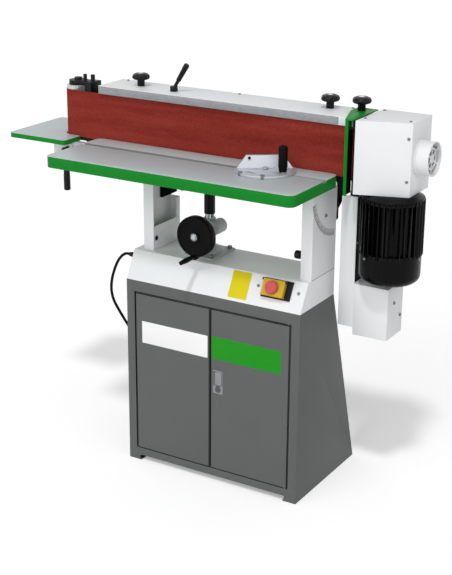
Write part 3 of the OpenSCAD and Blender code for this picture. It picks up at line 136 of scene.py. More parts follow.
def add_node(tree, kind, settings=None, links=None):
    """A node with its settings, and with links from its inputs to the sockets that feed them."""
    node = tree.nodes.new(kind)
    for name, value in (settings or {}).items():
        if isinstance(name, int) or name in node.inputs:
            node.inputs[name].default_value = value
        else:
            setattr(node, name, value)
    for name, socket in (links or {}).items():
        tree.links.new(socket, node.inputs[name])
    return node


def per_metre(size_mm):
    """Texture scale at which one blob or line is about this size."""
    return 1000 / size_mm


def new_material(name, settings):
    """A material with its shader, and the object's own coordinates to lay patterns on."""
    material = bpy.data.materials.new(name)
    material.use_nodes = True
    tree = material.node_tree
    shader = tree.nodes["Principled BSDF"]
    for key, value in settings.items():
        shader.inputs[key].default_value = value
    place = add_node(tree, "ShaderNodeTexCoord").outputs["Object"]
    return material, tree, shader, place


def dress_shader(tree, shader, tint, pattern, rough, strength, depth_mm):
    """Gives a shader its colour, and a pattern that breaks up its sheen and raises a fine relief."""
    tree.links.new(tint, shader.inputs["Base Color"])
    sheen = add_node(
        tree,
        "ShaderNodeMapRange",
        {"From Min": NOISE_LOW, "From Max": NOISE_HIGH, "To Min": rough[0], "To Max": rough[1]},
        {"Value": pattern},
    )
    tree.links.new(sheen.outputs["Result"], shader.inputs["Roughness"])
    bump = add_node(
        tree, "ShaderNodeBump", {"Strength": strength, "Distance": depth_mm * MM}, {"Height": pattern}
    )
    tree.links.new(bump.outputs["Normal"], shader.inputs["Normal"])


def enamel(name, low, high, gloss=0.4, shine=0.3, ripple_mm=1.8):
    """Sprayed and stoved enamel: an even colour with slow clouds, and the faint ripple of orange peel."""
    material, tree, shader, place = new_material(name, {"IOR": 1.5, "Specular IOR Level": shine})
    cloud = add_node(
        tree, "ShaderNodeTexNoise", {"Scale": per_metre(ENAMEL_CLOUD_MM), "Detail": 3.0}, {"Vector": place}
    )
    tint = add_node(
        tree,
        "ShaderNodeMixRGB",
        {"Color1": colour(low), "Color2": colour(high)},
        {"Fac": cloud.outputs["Fac"]},
    )
    ripple = add_node(
        tree, "ShaderNodeTexNoise", {"Scale": per_metre(ripple_mm), "Detail": 2.0}, {"Vector": place}
    )
    rough = (gloss - 0.05, gloss + 0.08)
    dress_shader(
        tree, shader, tint.outputs["Color"], ripple.outputs["Fac"], rough, strength=0.2, depth_mm=0.1
    )
    return material


def moulding(name, low, high, gloss=0.38, shine=0.35, grain_mm=1.2):
    """Moulded plastic or rubber: a solid colour with the fine grain of the mould."""
    material, tree, shader, place = new_material(name, {"IOR": 1.46, "Specular IOR Level": shine})
    grain = add_node(
        tree, "ShaderNodeTexNoise", {"Scale": per_metre(grain_mm), "Detail": 4.0}, {"Vector": place}
    )
    tint = add_node(
        tree,
        "ShaderNodeMixRGB",
        {"Color1": colour(low), "Color2": colour(high)},
        {"Fac": grain.outputs["Fac"]},
    )
    rough = (gloss - 0.06, gloss + 0.1)
    dress_shader(
        tree, shader, tint.outputs["Color"], grain.outputs["Fac"], rough, strength=0.3, depth_mm=0.12
    )
    return material


def cut_metal(name, low, high, gloss, line_mm, along, metallic=1.0):
    """Ground, drawn or turned metal: fine lines along the way it was cut, and a broken sheen."""
    material, tree, shader, place = new_material(name, {"Metallic": metallic})
    drawn = add_node(tree, "ShaderNodeMapping", {"Scale": along}, {"Vector": place})
    lines = add_node(
        tree,
        "ShaderNodeTexNoise",
        {"Scale": per_metre(line_mm), "Detail": 5.0},
        {"Vector": drawn.outputs["Vector"]},
    )
    tint = add_node(
        tree,
        "ShaderNodeMixRGB",
        {"Color1": colour(low), "Color2": colour(high)},
        {"Fac": lines.outputs["Fac"]},
    )
    rough = (gloss - 0.07, gloss + 0.1)
    dress_shader(
        tree, shader, tint.outputs["Color"], lines.outputs["Fac"], rough, strength=0.2, depth_mm=0.05
    )
    return material


def planed_table(name, top, rim, slot_middle, slot_half, slot_floor):
    """Planed iron with lines along the table, green enamel on the rim, white below, and painted shade in
    the slot.
    """
    material, tree, shader, place = new_material(name, {"IOR": 1.5, "Specular IOR Level": 0.15})
    split = add_node(tree, "ShaderNodeSeparateXYZ", links={"Vector": place}).outputs
    drawn = add_node(tree, "ShaderNodeMapping", {"Scale": ALONG_TABLE}, {"Vector": place})
    lines = add_node(
        tree,
        "ShaderNodeTexNoise",
        {"Scale": per_metre(PLANING_MM), "Detail": 4.0},
        {"Vector": drawn.outputs["Vector"]},
    )
    iron = add_node(
        tree,
        "ShaderNodeMixRGB",
        {"Color1": colour(IRON[0]), "Color2": colour(IRON[1])},
        {"Fac": lines.outputs["Fac"]},
    )
    cloud = add_node(
        tree, "ShaderNodeTexNoise", {"Scale": per_metre(RIM_CLOUD_MM), "Detail": 3.0}, {"Vector": place}
    )
    paint = add_node(
        tree,
        "ShaderNodeMixRGB",
        {"Color1": colour(GREEN[0]), "Color2": colour(GREEN[1])},
        {"Fac": cloud.outputs["Fac"]},
    )
    below = add_node(tree, "ShaderNodeMath", {"operation": "LESS_THAN", 1: top - rim}, {0: split["Z"]})
    painted = add_node(
        tree,
        "ShaderNodeMixRGB",
        {"Color2": colour(UNDERSIDE)},
        {"Fac": below.outputs["Value"], "Color1": paint.outputs["Color"]},
    )
    bare = add_node(
        tree, "ShaderNodeMath", {"operation": "GREATER_THAN", 1: top - BARE_DEPTH}, {0: split["Z"]}
    )
    dressed = add_node(
        tree,
        "ShaderNodeMixRGB",
        None,
        {"Fac": bare.outputs["Value"], "Color1": painted.outputs["Color"], "Color2": iron.outputs["Color"]},
    )
    aside = add_node(tree, "ShaderNodeMath", {"operation": "SUBTRACT", 1: slot_middle}, {0: split["Y"]})
    away = add_node(tree, "ShaderNodeMath", {"operation": "ABSOLUTE"}, {0: aside.outputs["Value"]})
    within = add_node(
        tree, "ShaderNodeMath", {"operation": "LESS_THAN", 1: slot_half}, {0: away.outputs["Value"]}
    )
    raised = add_node(
        tree, "ShaderNodeMath", {"operation": "GREATER_THAN", 1: slot_floor}, {0: split["Z"]}
    )
    sunk = add_node(
        tree,
        "ShaderNodeMath",
        {"operation": "MULTIPLY"},
        {0: within.outputs["Value"], 1: raised.outputs["Value"]},
    )
    # painted shade: inside the slot the colour turns to a darker grey
    slot_shaded = add_node(
        tree,
        "ShaderNodeMixRGB",
        {"Color2": colour(SLOT_SHADE)},
        {"Fac": sunk.outputs["Value"], "Color1": dressed.outputs["Color"]},
    )
    metal = add_node(
        tree, "ShaderNodeMath", {"operation": "MULTIPLY", 1: BARE_METAL}, {0: bare.outputs["Value"]}
    )
    tree.links.new(metal.outputs["Value"], shader.inputs["Metallic"])
    rough = (0.4, 0.52)
    dress_shader(
        tree, shader, slot_shaded.outputs["Color"], lines.outputs["Fac"], rough, strength=0.15, depth_mm=0.04
    )
    return material


def abrasive_cloth(name, low, high):
    """Resin-bonded grit on cloth: dull red brown, with loose streaks along the run of the belt."""
    material, tree, shader, place = new_material(name, {"IOR": 1.5, "Specular IOR Level": 0.1})
    drawn = add_node(tree, "ShaderNodeMapping", {"Scale": ALONG_BELT}, {"Vector": place})
    streak = add_node(
        tree,
        "ShaderNodeTexNoise",
        {"Scale": per_metre(STREAK_MM), "Detail": 4.0},
        {"Vector": drawn.outputs["Vector"]},
    )
    grit = add_node(
        tree, "ShaderNodeTexNoise", {"Scale": per_metre(GRIT_MM), "Detail": 6.0}, {"Vector": place}
    )
    mixed = add_node(
        tree, "ShaderNodeMath", {"operation": "ADD"}, {0: streak.outputs["Fac"], 1: grit.outputs["Fac"]}
    )
    # the two patterns together run over twice the range of one, and the ends of it are left out
    share = add_node(
        tree, "ShaderNodeMapRange", {"From Min": 0.7, "From Max": 1.3}, {"Value": mixed.outputs["Value"]}
    )
    tint = add_node(
        tree,
        "ShaderNodeMixRGB",
        {"Color1": colour(low), "Color2": colour(high)},
        {"Fac": share.outputs["Result"]},
    )
    rough = (0.75, 0.95)
    dress_shader(
        tree, shader, tint.outputs["Color"], grit.outputs["Fac"], rough, strength=0.5, depth_mm=0.25
    )
    return material


def make_finishes():
    """Every finish on the machine, by a short name."""
    table_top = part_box("main_table")[1].z
    end_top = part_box("end_table")[1].z
    bar_low, bar_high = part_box("mitre_bar")
    # two colours, then gloss, shine and grain, or for metals gloss, width and way of the lines, and metal
    return {
        "cabinet": enamel("grey stoved enamel", "5d5f5e", "636564", 0.45, 0.12),
        "white": enamel("white stoved enamel", "e3e5e6", "ebecee"),
        "green": enamel("green stoved enamel", *GREEN, shine=0.12),
        "black": enamel("black stoved enamel", "0b0b0c", "121213", shine=0.15),
        "matt_black": enamel("matt black enamel", "060607", "0b0b0c", 0.85, 0.03),
        "motor": enamel("black motor enamel", "030304", "060607", 0.22, 0.1, 3.0),
        "lip": cut_metal("galvanised lip steel", "7f8284", "a4a7aa", 0.45, 7.0, (0.4, 1, 1), 0.3),
        "casting": enamel("silver casting enamel", "aeb1b3", "babdbf", 0.45, 0.35, 3.0),
        "lock": enamel("dark lock enamel", "4a4b4d", "555658", 0.4, 0.3, 1.2),
        "latch": enamel("grey latch enamel", "86888b", "909295", 0.4, 0.3, 1.2),
        "table": planed_table(
            "planed iron with green rim",
            top=table_top,
            rim=MAIN_RIM,
            slot_middle=(bar_low.y + bar_high.y) / 2,
            slot_half=(bar_high.y - bar_low.y) / 2 + SLOT_FREE,
            slot_floor=table_top - SLOT_DEPTH,
        ),
        "end_table": planed_table(
            "planed end iron with green rim",
            top=end_top,
            rim=END_RIM,
            slot_middle=NO_SLOT_Y,
            slot_half=0.0,
            slot_floor=end_top,
        ),
        "steel": cut_metal("ground steel", "a9acaf", "bdc0c2", 0.32, 1.2, (1, 1, 0.05)),
        "bar_steel": cut_metal("drawn bar steel", "9b9ea0", "b0b3b5", 0.6, 1.0, ALONG_TABLE, 0.25),
        "screw": cut_metal("zinc plated screw steel", "6c6e70", "7e8082", 0.42, 1.2, (1, 1, 1), 0.4),
        "drum": cut_metal("turned aluminium", "c6c8ca", "dadcde", 0.3, 1.5, (1, 1, 8), 0.6),
        "chrome": cut_metal("hard chrome", "c8cacc", "d6d8da", 0.15, 3.0, (1, 1, 0.2)),
        "cast": cut_metal("bead-blasted cast aluminium", "b3b6bd", "c5c8ce", 0.42, 1.2, (1, 1, 1), 0.5),
        "belt": abrasive_cloth("resin-bonded abrasive cloth", "72201a", "983b30"),
        "black_plastic": moulding("black phenolic moulding", "0a0a0b", "111112", 0.26, 0.22),
        "wheel_plastic": moulding("black wheel moulding", "080708", "0e0d0e", 0.4, 0.07),
        "dull_plastic": moulding("black grained moulding", "121213", "1b1b1c", 0.55, 0.15, 1.0),
        # black rubber, also used for the black sheets of painted shade beside the hood
        "rubber_and_shade": moulding("black rubber and painted shade", "0a0a0b", "101011", 0.6, 0.12, 0.8),
        # grey painted shade for the gaps at the feet of the columns
        "gap_shade": moulding("grey painted gap shade", "7c7e7f", "868889", 0.6, 0.1, 0.8),
        "yellow": moulding("yellow moulded ABS", "c69e24", "cfa92f", 0.42, 0.25, 1.4),
        "red": moulding("red moulded ABS", "c24c50", "cc585a", 0.38, 0.25, 1.4),
        "start": moulding("green moulded ABS", "137536", "19843e", 0.38, 0.3, 1.4),
        "white_film": enamel("white label film", "f0f0f0", "f6f6f6"),
        "green_film": enamel("green label film", "158a10", "1a9615", shine=0.2),
        "yellow_film": enamel("yellow label film", "d6c414", "dfcd1c", shine=0.12),
        "scale_film": enamel("grey scale film", "bcbebf", "c6c8c9"),
    }


# Mains lead: the same route and coil as the solid model's, in millimetres

CORD_D = 9.0
COIL_X, COIL_Y, COIL_Z = -180.0, 282.0, 6.5
COIL_STEP = CORD_D + 0.8
COIL_IN = 39.0
COIL_TURNS = 4.5
TURN_POINTS = 24
LEAD_IN = CORD_D
TAIL = 24.0
PLUG_D = 36.0
COIL_OUT = COIL_IN + COIL_STEP * COIL_TURNS / 2
ROUTE_STEPS = 3
ROUND_STEPS = 4
ROUTE = [
    (-333, -138, 672), (-342, -138, 672), (-353, -138, 669), (-366, -138, 659), (-381, -138, 639),
    (-396, -137, 607), (-409, -134, 568), (-415, -128, 530), (-413, -118, 494), (-407, -100, 457),
    (-401, -78, 418), (-397, -52, 378), (-394, -24, 335), (-392, 6, 288), (-390, 36, 238),
    (-388, 68, 188), (-385, 102, 138), (-380, 138, 90), (-372, 176, 48), (-360, 214, 19),
    (-342, 250, 7), (-318, 282, 5), (-288, 308, 5), (-254, 328, 5.5), (-222, 340, 6.2),
    (COIL_X - 2 * LEAD_IN, COIL_Y + COIL_OUT, COIL_Z), (COIL_X - LEAD_IN, COIL_Y + COIL_OUT, COIL_Z),
]


def curve_point(a, b, c, d, t):
    """A point between b and c on the smooth curve through four points."""
    return 0.5 * (
        2 * b + (c - a) * t + (2 * a - 5 * b + 4 * c - d) * t * t + (3 * b - a - 3 * c + d) * t * t * t
    )


def free_stretch():
    """Points of the lead from the gland down to the coil."""
    points = [Vector(p) for p in ROUTE]
    path = [points[0]]
    for i in range(1, len(points) - 2):
        for k in range(ROUTE_STEPS):
            path.append(curve_point(*points[i - 1 : i + 3], k / ROUTE_STEPS))
    return path + points[-2:]


def coil_point(turn):
    """A point of the coil, which is wound inwards, up one layer and outwards."""
    radius = COIL_IN + COIL_STEP * abs(turn - COIL_TURNS / 2)
    angle = math.radians(90 - 360 * turn)
    climb = min(max((turn - COIL_TURNS / 2) * 2 + 0.5, 0), 1)
    height = COIL_Z + COIL_STEP * climb * climb * (3 - 2 * climb)
    return Vector((COIL_X + radius * math.cos(angle), COIL_Y + radius * math.sin(angle), height))


def coil():
    """Points of the coil and of the tail that leads to the plug."""
    path = [coil_point(i / TURN_POINTS) for i in range(int(COIL_TURNS * TURN_POINTS) + 1)]
    end = path[-1]
    plug_z = PLUG_D / 2
    path.append(end + Vector((-TAIL / 2, 0, (plug_z - end.z) / 2)))
    path.append(Vector((COIL_X - TAIL, end.y, plug_z)))
    path.append(Vector((COIL_X - TAIL - LEAD_IN, end.y, plug_z)))
    return path


def lay_mains_lead(finish):
    """The lead as one round curve, in place of the solid lead and coil."""
    path = [p * MM for p in free_stretch() + coil()]
    line = bpy.data.curves.new("mains_lead", "CURVE")
    line.dimensions = "3D"
    line.bevel_depth = CORD_D / 2 * MM
    line.bevel_resolution = ROUND_STEPS
    line.use_fill_caps = True
    spline = line.splines.new("POLY")
    spline.points.add(len(path) - 1)
    for point, place in zip(spline.points, path):
        point.co = (*place, 1)
    spline.use_smooth = True
    lead = bpy.data.objects.new("mains_lead", line)
    bpy.context.scene.collection.objects.link(lead)
    line.materials.append(finish)
    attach(lead, "stand")
    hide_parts("mains_cord", "cord_coil")


# Handling of meshes

CORNER_STEPS = 5
# share of a sheet's thickness that its rounded edges take
SHEET_EDGE = 0.3
# an edge longer than this share of the thickness runs through the sheet
THROUGH = 0.9


def alone(obj):
    """Selects one object and makes it the active one."""
    bpy.ops.object.select_all(action="DESELECT")
    obj.hide_set(False)
    obj.select_set(True)
    bpy.context.view_layer.objects.active = obj


def smooth(obj, angle=35):
    """Shades an object smooth, apart from the edges sharper than an angle."""
    alone(obj)
    bpy.ops.object.shade_smooth_by_angle(angle=math.radians(angle))


def round_edges(obj, width_mm, segments=2, angle=40):
    """Rounds the sharp edges, as on folded sheet, castings and mouldings."""
    alone(obj)
    bevel = obj.modifiers.new("edges", "BEVEL")
    bevel.width = width_mm * MM
    bevel.segments = segments
    bevel.limit_method = "ANGLE"
    bevel.angle_limit = math.radians(angle)
    bevel.use_clamp_overlap = True
    bpy.ops.object.modifier_apply(modifier=bevel.name)


def settle(obj):
    """Puts an object's place, turn and size into its mesh."""
    alone(obj)
    bpy.ops.object.transform_apply(location=True, rotation=True, scale=True)


def pick(obj, kind, test):
    """Selects the edges or faces whose corners pass a test, and goes into edit mode."""
    alone(obj)
    bpy.ops.object.mode_set(mode="EDIT")
    bpy.ops.mesh.select_mode(type=kind)
    bpy.ops.mesh.select_all(action="DESELECT")
    bpy.ops.object.mode_set(mode="OBJECT")
    for part in obj.data.edges if kind == "EDGE" else obj.data.polygons:
        corners = [obj.data.vertices[i].co for i in part.vertices]
        part.select = test(corners)
    bpy.ops.object.mode_set(mode="EDIT")


def finish_piece(obj, name, body, material):
    """Smooths and names a piece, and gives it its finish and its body."""
    smooth(obj)
    obj.name = name
    obj.data.name = name
    obj.data.materials.clear()
    obj.data.materials.append(material)
    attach(obj, body)


def sheet_plate(low, high, thin, corner_mm):
    """A thin plate between two corners, with round corners across its thin axis and soft edges."""
    low, high = Vector(low), Vector(high)
    bpy.ops.object.select_all(action="DESELECT")
    bpy.ops.mesh.primitive_cube_add(size=1, location=(low + high) / 2, scale=high - low)
    made = bpy.context.object
    settle(made)
    thickness = high[thin] - low[thin]
    pick(made, "EDGE", lambda c: abs(c[0][thin] - c[1][thin]) > THROUGH * thickness)
    bpy.ops.mesh.bevel(offset=corner_mm * MM, segments=CORNER_STEPS, affect="EDGES")
    bpy.ops.object.mode_set(mode="OBJECT")
    round_edges(made, SHEET_EDGE * thickness / MM, angle=60)
    return made


def turned(place, way, radius_mm, depth_mm, sides=32):
    """A round blank with its base at a place and its axis along a direction."""
    bpy.ops.object.select_all(action="DESELECT")
    bpy.ops.mesh.primitive_cylinder_add(
        vertices=sides,
        radius=radius_mm * MM,
        depth=depth_mm * MM,
        location=Vector(place) + way * depth_mm * MM / 2,
        rotation=way.to_track_quat("Z", "Y").to_euler(),
    )
    made = bpy.context.object
    settle(made)
    return made


def stepped(place, way, radius_mm, depth_mm, inset_mm, step_mm, edge_mm, segments=2, sides=32):
    """A turned piece with soft edges, its end face inset and drawn out, or sunk by a step below nought."""
    made = turned(place, way, radius_mm, depth_mm, sides)
    far = max(v.co.dot(way) for v in made.data.vertices)
    pick(made, "FACE", lambda c: all(p.dot(way) > far - TOUCH for p in c))
    bpy.ops.mesh.inset(thickness=inset_mm * MM)
    bpy.ops.mesh.extrude_region_move(TRANSFORM_OT_translate={"value": way * step_mm * MM})
    bpy.ops.object.mode_set(mode="OBJECT")
    round_edges(made, edge_mm, segments)
    return made


def copy_of(obj):
    """A second piece with a mesh of its own."""
    alone(obj)
    bpy.ops.object.duplicate(linked=False)
    return bpy.context.object


def together(parts):
    """Joins several objects into the first of them."""
    bpy.ops.object.select_all(action="DESELECT")
    for part in parts:
        part.select_set(True)
    bpy.context.view_layer.objects.active = parts[0]
    bpy.ops.object.join()
    return parts[0]


def cut_out(obj, cutter):
    """Takes the cutter's shape out of a piece and removes the cutter."""
    alone(obj)
    cut = obj.modifiers.new("cut", "BOOLEAN")
    cut.object = cutter
    cut.operation = "DIFFERENCE"
    cut.solver = "EXACT"
    bpy.ops.object.modifier_apply(modifier=cut.name)
    bpy.data.objects.remove(cutter)


# The solids, with their finishes and the width of their rounded edges in millimetres

NODE_FINISH = {
    "cabinet_shell": ("cabinet", 1.2), "left_door": ("cabinet", 1.2), "right_door": ("cabinet", 0.8),
    "door_hinge_pins": ("steel", 0), "latch_pull": ("latch", 0.4), "lock_barrel": ("lock", 0.3),
    "console_box": ("white", 1.5), "left_column": ("white", 1.0), "right_column": ("white", 1.0),
    "hinge_ears": ("matt_black", 0.6), "tilt_pivot_bolts": ("steel", 0.4),
    "lift_guide": ("casting", 0.8), "stand_bolts": ("screw", 0.3), "switch_base": ("dull_plastic", 0.5),
    "cord_gland": ("dull_plastic", 0.3), "switch_flap": ("yellow", 2.5), "stop_mushroom": ("red", 1.0),
    "start_button": ("start", 0.8), "off_button": ("red", 0.8), "main_table": ("table", 0.8),
    "table_bracket": ("black", 0.8), "lift_post": ("steel", 0), "pinion_shaft": ("steel", 0),
    "handwheel": ("wheel_plastic", 0.6), "crank_grip": ("wheel_plastic", 0.5),
    "mitre_bar": ("bar_steel", 0.4), "mitre_head": ("cast", 0.8),
    "mitre_handle": ("wheel_plastic", 0.6), "head_frame": ("black", 0.8),
    "tilt_quadrants": ("matt_black", 0.5), "platen": ("steel", 0.4), "top_cover": ("white", 0.8),
    "rear_guard": ("white", 0.6), "sanding_belt": ("belt", 0), "motor_channel": ("white", 1.0),
    "capacitor_box": ("white", 1.0), "motor_frame": ("motor", 0.6), "motor_end_shield": ("motor", 1.5),
    "fan_cowl": ("motor", 0), "drive_hood": ("white", 1.0), "dust_port": ("white", 0.5),
    "head_screws": ("screw", 0.2), "rotor_shaft": ("steel", 0), "drive_drum": ("cast", 0),
    "idler_yoke": ("black", 0.8), "idler_drum": ("drum", 0), "tension_lever": ("black_plastic", 0.8),
    "tracking_knob": ("black_plastic", 1.5), "work_stop": ("green", 0.6),
    "stop_knob": ("black_plastic", 1.5), "cover_knob": ("black_plastic", 1.5),
    "end_table": ("end_table", 0.8), "end_bracket": ("white", 0.8), "end_clamp": ("black_plastic", 0.4),
    "tilt_knob_left": ("black_plastic", 1.5), "tilt_knob_right": ("black_plastic", 1.5),
}
LEAD_FINISH = {"cord_tie": "dull_plastic", "mains_plug": "rubber_and_shade"}
# nodes with a hole in a flat face are cut into triangles, or rounding their edges would fill the hole
HOLED = ("capacitor_box", "mitre_head")
# faces that meet at less than this angle, in degrees, are one flat face
FLAT_ANGLE = 0.5


def dress(node, material, edge_mm):
    """Stands a merged and smoothed copy, with rounded edges, in place of a node."""
    source = frame["nodes"][node]
    piece = bpy.data.objects.new(node + "_dressed", source.data.copy())
    bpy.context.scene.collection.objects.link(piece)
    alone(piece)
    bpy.ops.object.mode_set(mode="EDIT")
    bpy.ops.mesh.select_all(action="SELECT")
    bpy.ops.mesh.remove_doubles(threshold=TOUCH)
    bpy.ops.mesh.dissolve_limited(angle_limit=math.radians(FLAT_ANGLE))
    if node in HOLED:
        bpy.ops.mesh.quads_convert_to_tris(quad_method="BEAUTY", ngon_method="BEAUTY")
    bpy.ops.object.mode_set(mode="OBJECT")
    if edge_mm:
        round_edges(piece, edge_mm)
    finish_piece(piece, node + "_dressed", source["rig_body"], material)
    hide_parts(node)


def dress_nodes(finishes):
    """Dresses every node, but shows the tie and the plug, which lie on the lead, as they are."""
    for node, (finish, edge) in NODE_FINISH.items():
        dress(node, finishes[finish], edge)
    for node, finish in LEAD_FINISH.items():
        frame["nodes"][node].data.materials.clear()
        frame["nodes"][node].data.materials.append(finishes[finish])


# Plates, films and strips

PLATE_PROUD = 0.5 * MM
# lower left and upper right corner of each plate, across and up
LEFT_PLATE = ((-0.249, 0.412), (-0.009, 0.484))
RIGHT_PLATE = ((0.006, 0.414), (0.245, 0.487))


def add_door_plates(finishes):
    """A bare plate on each door, white at the left and green at the right."""
    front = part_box("left_door")[0].y
    for door, (low, high), film, slot in (
        ("left_door", LEFT_PLATE, "white_film", "white_paint"),
        ("right_door", RIGHT_PLATE, "green_film", "green_paint"),
    ):
        plate = sheet_plate(
            (low[0], front - PLATE_PROUD, low[1]), (high[0], front, high[1]), Y, corner_mm=2
        )
        finish_piece(plate, door + "_plate", door, finishes[film])


SEAL_INSET = 4 * MM
SEAL_DEPTH = 5 * MM
SEAL_FREE = 0.6 * MM


def add_door_seal(finishes):
    """Rubber strip on the left door's edge that darkens the gap between the doors."""
    left_low, left_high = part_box("left_door")
    right_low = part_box("right_door")[0]
    front = left_low.y + SEAL_INSET
    strip = sheet_plate(
        (left_high.x, front, left_low.z + SEAL_INSET),
        (right_low.x - SEAL_FREE, front + SEAL_DEPTH, left_high.z - SEAL_INSET),
        Y,
        corner_mm=0.5,
    )
    finish_piece(strip, "door_seal", "left_door", finishes["rubber_and_shade"])


EDGING = 2.5 * MM
EDGING_PROUD = 0.3 * MM


def add_door_edging(finishes):
    """Rubber edging up both sides and along the top of each door, which reads as a dark joint."""
    for door in ("left_door", "right_door"):
        low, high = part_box(door)
        front = low.y - EDGING_PROUD
        left, right = low.x + EDGING, high.x - EDGING
        # a strip up either side, and one along the top between them
        corners = [
            ((low.x, front, low.z), (left, low.y, high.z)),
            ((right, front, low.z), (high.x, low.y, high.z)),
            ((left, front, high.z - EDGING), (right, low.y, high.z)),
        ]
        strips = [sheet_plate(first, last, Y, corner_mm=0.3) for first, last in corners]
        finish_piece(together(strips), door + "_edging", door, finishes["rubber_and_shade"])


LATCH_THICK_MM = 0.8
LATCH_RIM = 4 * MM
LATCH_SIDE = 2 * MM
PULL_FREE = 0.8 * MM
LOCK_FREE_MM = 0.4


def add_latch_plate(finishes):
    """Pressed plate round the pull and the lock, with an opening for each."""
    pull_low, pull_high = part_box("latch_pull")
    lock_low, lock_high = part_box("lock_barrel")
    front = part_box("right_door")[0].y
    thick = LATCH_THICK_MM * MM
    made = sheet_plate(
        (pull_low.x - LATCH_SIDE, front - thick, lock_low.z - LATCH_RIM),
        (pull_high.x + LATCH_SIDE, front, pull_high.z + LATCH_RIM),
        Y,
        corner_mm=2.5,
    )
    opening = sheet_plate(
        (pull_low.x - PULL_FREE, front - 2 * thick, pull_low.z - PULL_FREE),
        (pull_high.x + PULL_FREE, front + thick, pull_high.z + PULL_FREE),
        Y,
        corner_mm=1,
    )
    cut_out(made, opening)
    middle = (lock_low + lock_high) / 2
    barrel_mm = (lock_high.x - lock_low.x) / 2 / MM
    bore = turned(
        (middle.x, front + thick, middle.z),
        FORWARDS,
        radius_mm=barrel_mm + LOCK_FREE_MM,
        depth_mm=4 * LATCH_THICK_MM,
    )
    cut_out(made, bore)
    finish_piece(made, "latch_plate", "right_door", finishes["latch"])


# the panel's top edge lies this far behind its foot
PANEL_SETBACK = 0.045
FILM_THICK = 0.4 * MM
# the film's corners, across the panel and up its slope
PANEL_FILM = ((0.057, 0.009), (0.120, 0.092))


def add_panel_film(finishes):
    """Plain yellow film on the sloping panel."""
    console_low, console_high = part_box("console_box")
    first, last = PANEL_FILM
    made = sheet_plate((*first, 0), (*last, FILM_THICK), Z, corner_mm=2)
    rise = math.atan2(console_high.z - console_low.z, PANEL_SETBACK)
    made.rotation_euler = (rise, 0, 0)
    made.location = (0, console_low.y, console_low.z)
    settle(made)
    finish_piece(made, "panel_film", "stand", finishes["yellow_film"])


SCALE_RADIUS = 0.143
SCALE_WIDTH = 0.020
SCALE_START = math.radians(193)
SCALE_SWEEP = math.radians(74)
SCALE_STEPS = 36
SCALE_Y, SCALE_Z = 0.0095, 0.958
TICKS = 19
LONG_EVERY = 3
TICK_THICK = 0.3 * MM
TICK_INSET = 0.6 * MM
# the share of the sweep that is left free before the first tick and after the last
TICK_MARGIN = 0.02
LONG_TICK, LONG_HALF = 12 * MM, 1.2 * MM
SHORT_TICK, SHORT_HALF = 8 * MM, 0.9 * MM


def add_tilt_scale(finishes):
    """Arc of grey film on the right column, with a tick about every four degrees."""
    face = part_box("right_column")[1].x
    bpy.ops.object.select_all(action="DESELECT")
    bpy.ops.mesh.primitive_plane_add(size=1, location=(0, SCALE_RADIUS, 0))
    arc = bpy.context.object
    arc.scale = (FILM_THICK, SCALE_WIDTH, 1)
    settle(arc)
    pick(arc, "FACE", lambda c: True)
    bpy.ops.mesh.spin(steps=SCALE_STEPS, angle=SCALE_SWEEP, center=(0, 0, 0), axis=(1, 0, 0))
    bpy.ops.mesh.select_all(action="SELECT")
    bpy.ops.mesh.remove_doubles(threshold=TOUCH)
    bpy.ops.mesh.normals_make_consistent(inside=False)
    bpy.ops.object.mode_set(mode="OBJECT")
    # the arc is turned so that its lower end comes to the start of the scale
    turns = [math.atan2(v.co.z, v.co.y) for v in arc.data.vertices]
    arc.rotation_euler = (SCALE_START - min(turns), 0, 0)
    arc.location = (face + FILM_THICK / 2, SCALE_Y, SCALE_Z)
    settle(arc)
    finish_piece(arc, "tilt_scale", "stand", finishes["scale_film"])
    outer = SCALE_RADIUS + SCALE_WIDTH / 2 - TICK_INSET
    long_tick, short_tick = (
        sheet_plate((0, outer - length, -half), (TICK_THICK, outer, half), X, corner_mm=0.1)
        for length, half in ((LONG_TICK, LONG_HALF), (SHORT_TICK, SHORT_HALF))
    )
    ticks = []
    for i in range(TICKS):
        tick = copy_of(short_tick if i % LONG_EVERY else long_tick)
        share = TICK_MARGIN + (1 - 2 * TICK_MARGIN) * i / (TICKS - 1)
        tick.rotation_euler = (SCALE_START + SCALE_SWEEP * share, 0, 0)
        tick.location = (face + TICK_THICK, SCALE_Y, SCALE_Z)
        settle(tick)
        ticks.append(tick)
    bpy.data.objects.remove(long_tick)
    bpy.data.objects.remove(short_tick)
    finish_piece(together(ticks), "tilt_scale_ticks", "stand", finishes["black"])


STRIP_THICK = 1 * MM
STRIP_INSET = 1 * MM
STRIP_TOP = 1.5 * MM


def add_lip_strip(finishes):
    """Brushed steel strip along the front lip of the cover, up to the work stop."""
    low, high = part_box("top_cover")
    stop_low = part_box("work_stop")[0]
    strip = sheet_plate(
        (low.x + STRIP_INSET, low.y - STRIP_THICK, low.z),
        (stop_low.x, low.y, high.z - STRIP_TOP),
        Y,
        corner_mm=0.4,
    )
    finish_piece(strip, "cover_lip_strip", "head", finishes["lip"])


# the sheets of painted shade at the end of the belt's run stay this far from the belt, and this far below
# the top
BELT_FREE = 3 * MM
BELOW_TOP = 6 * MM
# the stop's web lies this far in from its right edge
WEB_BACK = 20 * MM
SHADE_SHEET_THICK = 1 * MM
SHADE_SHEET_FRONT = 4.5 * MM
SHADE_SHEET_FOOT = 1 * MM


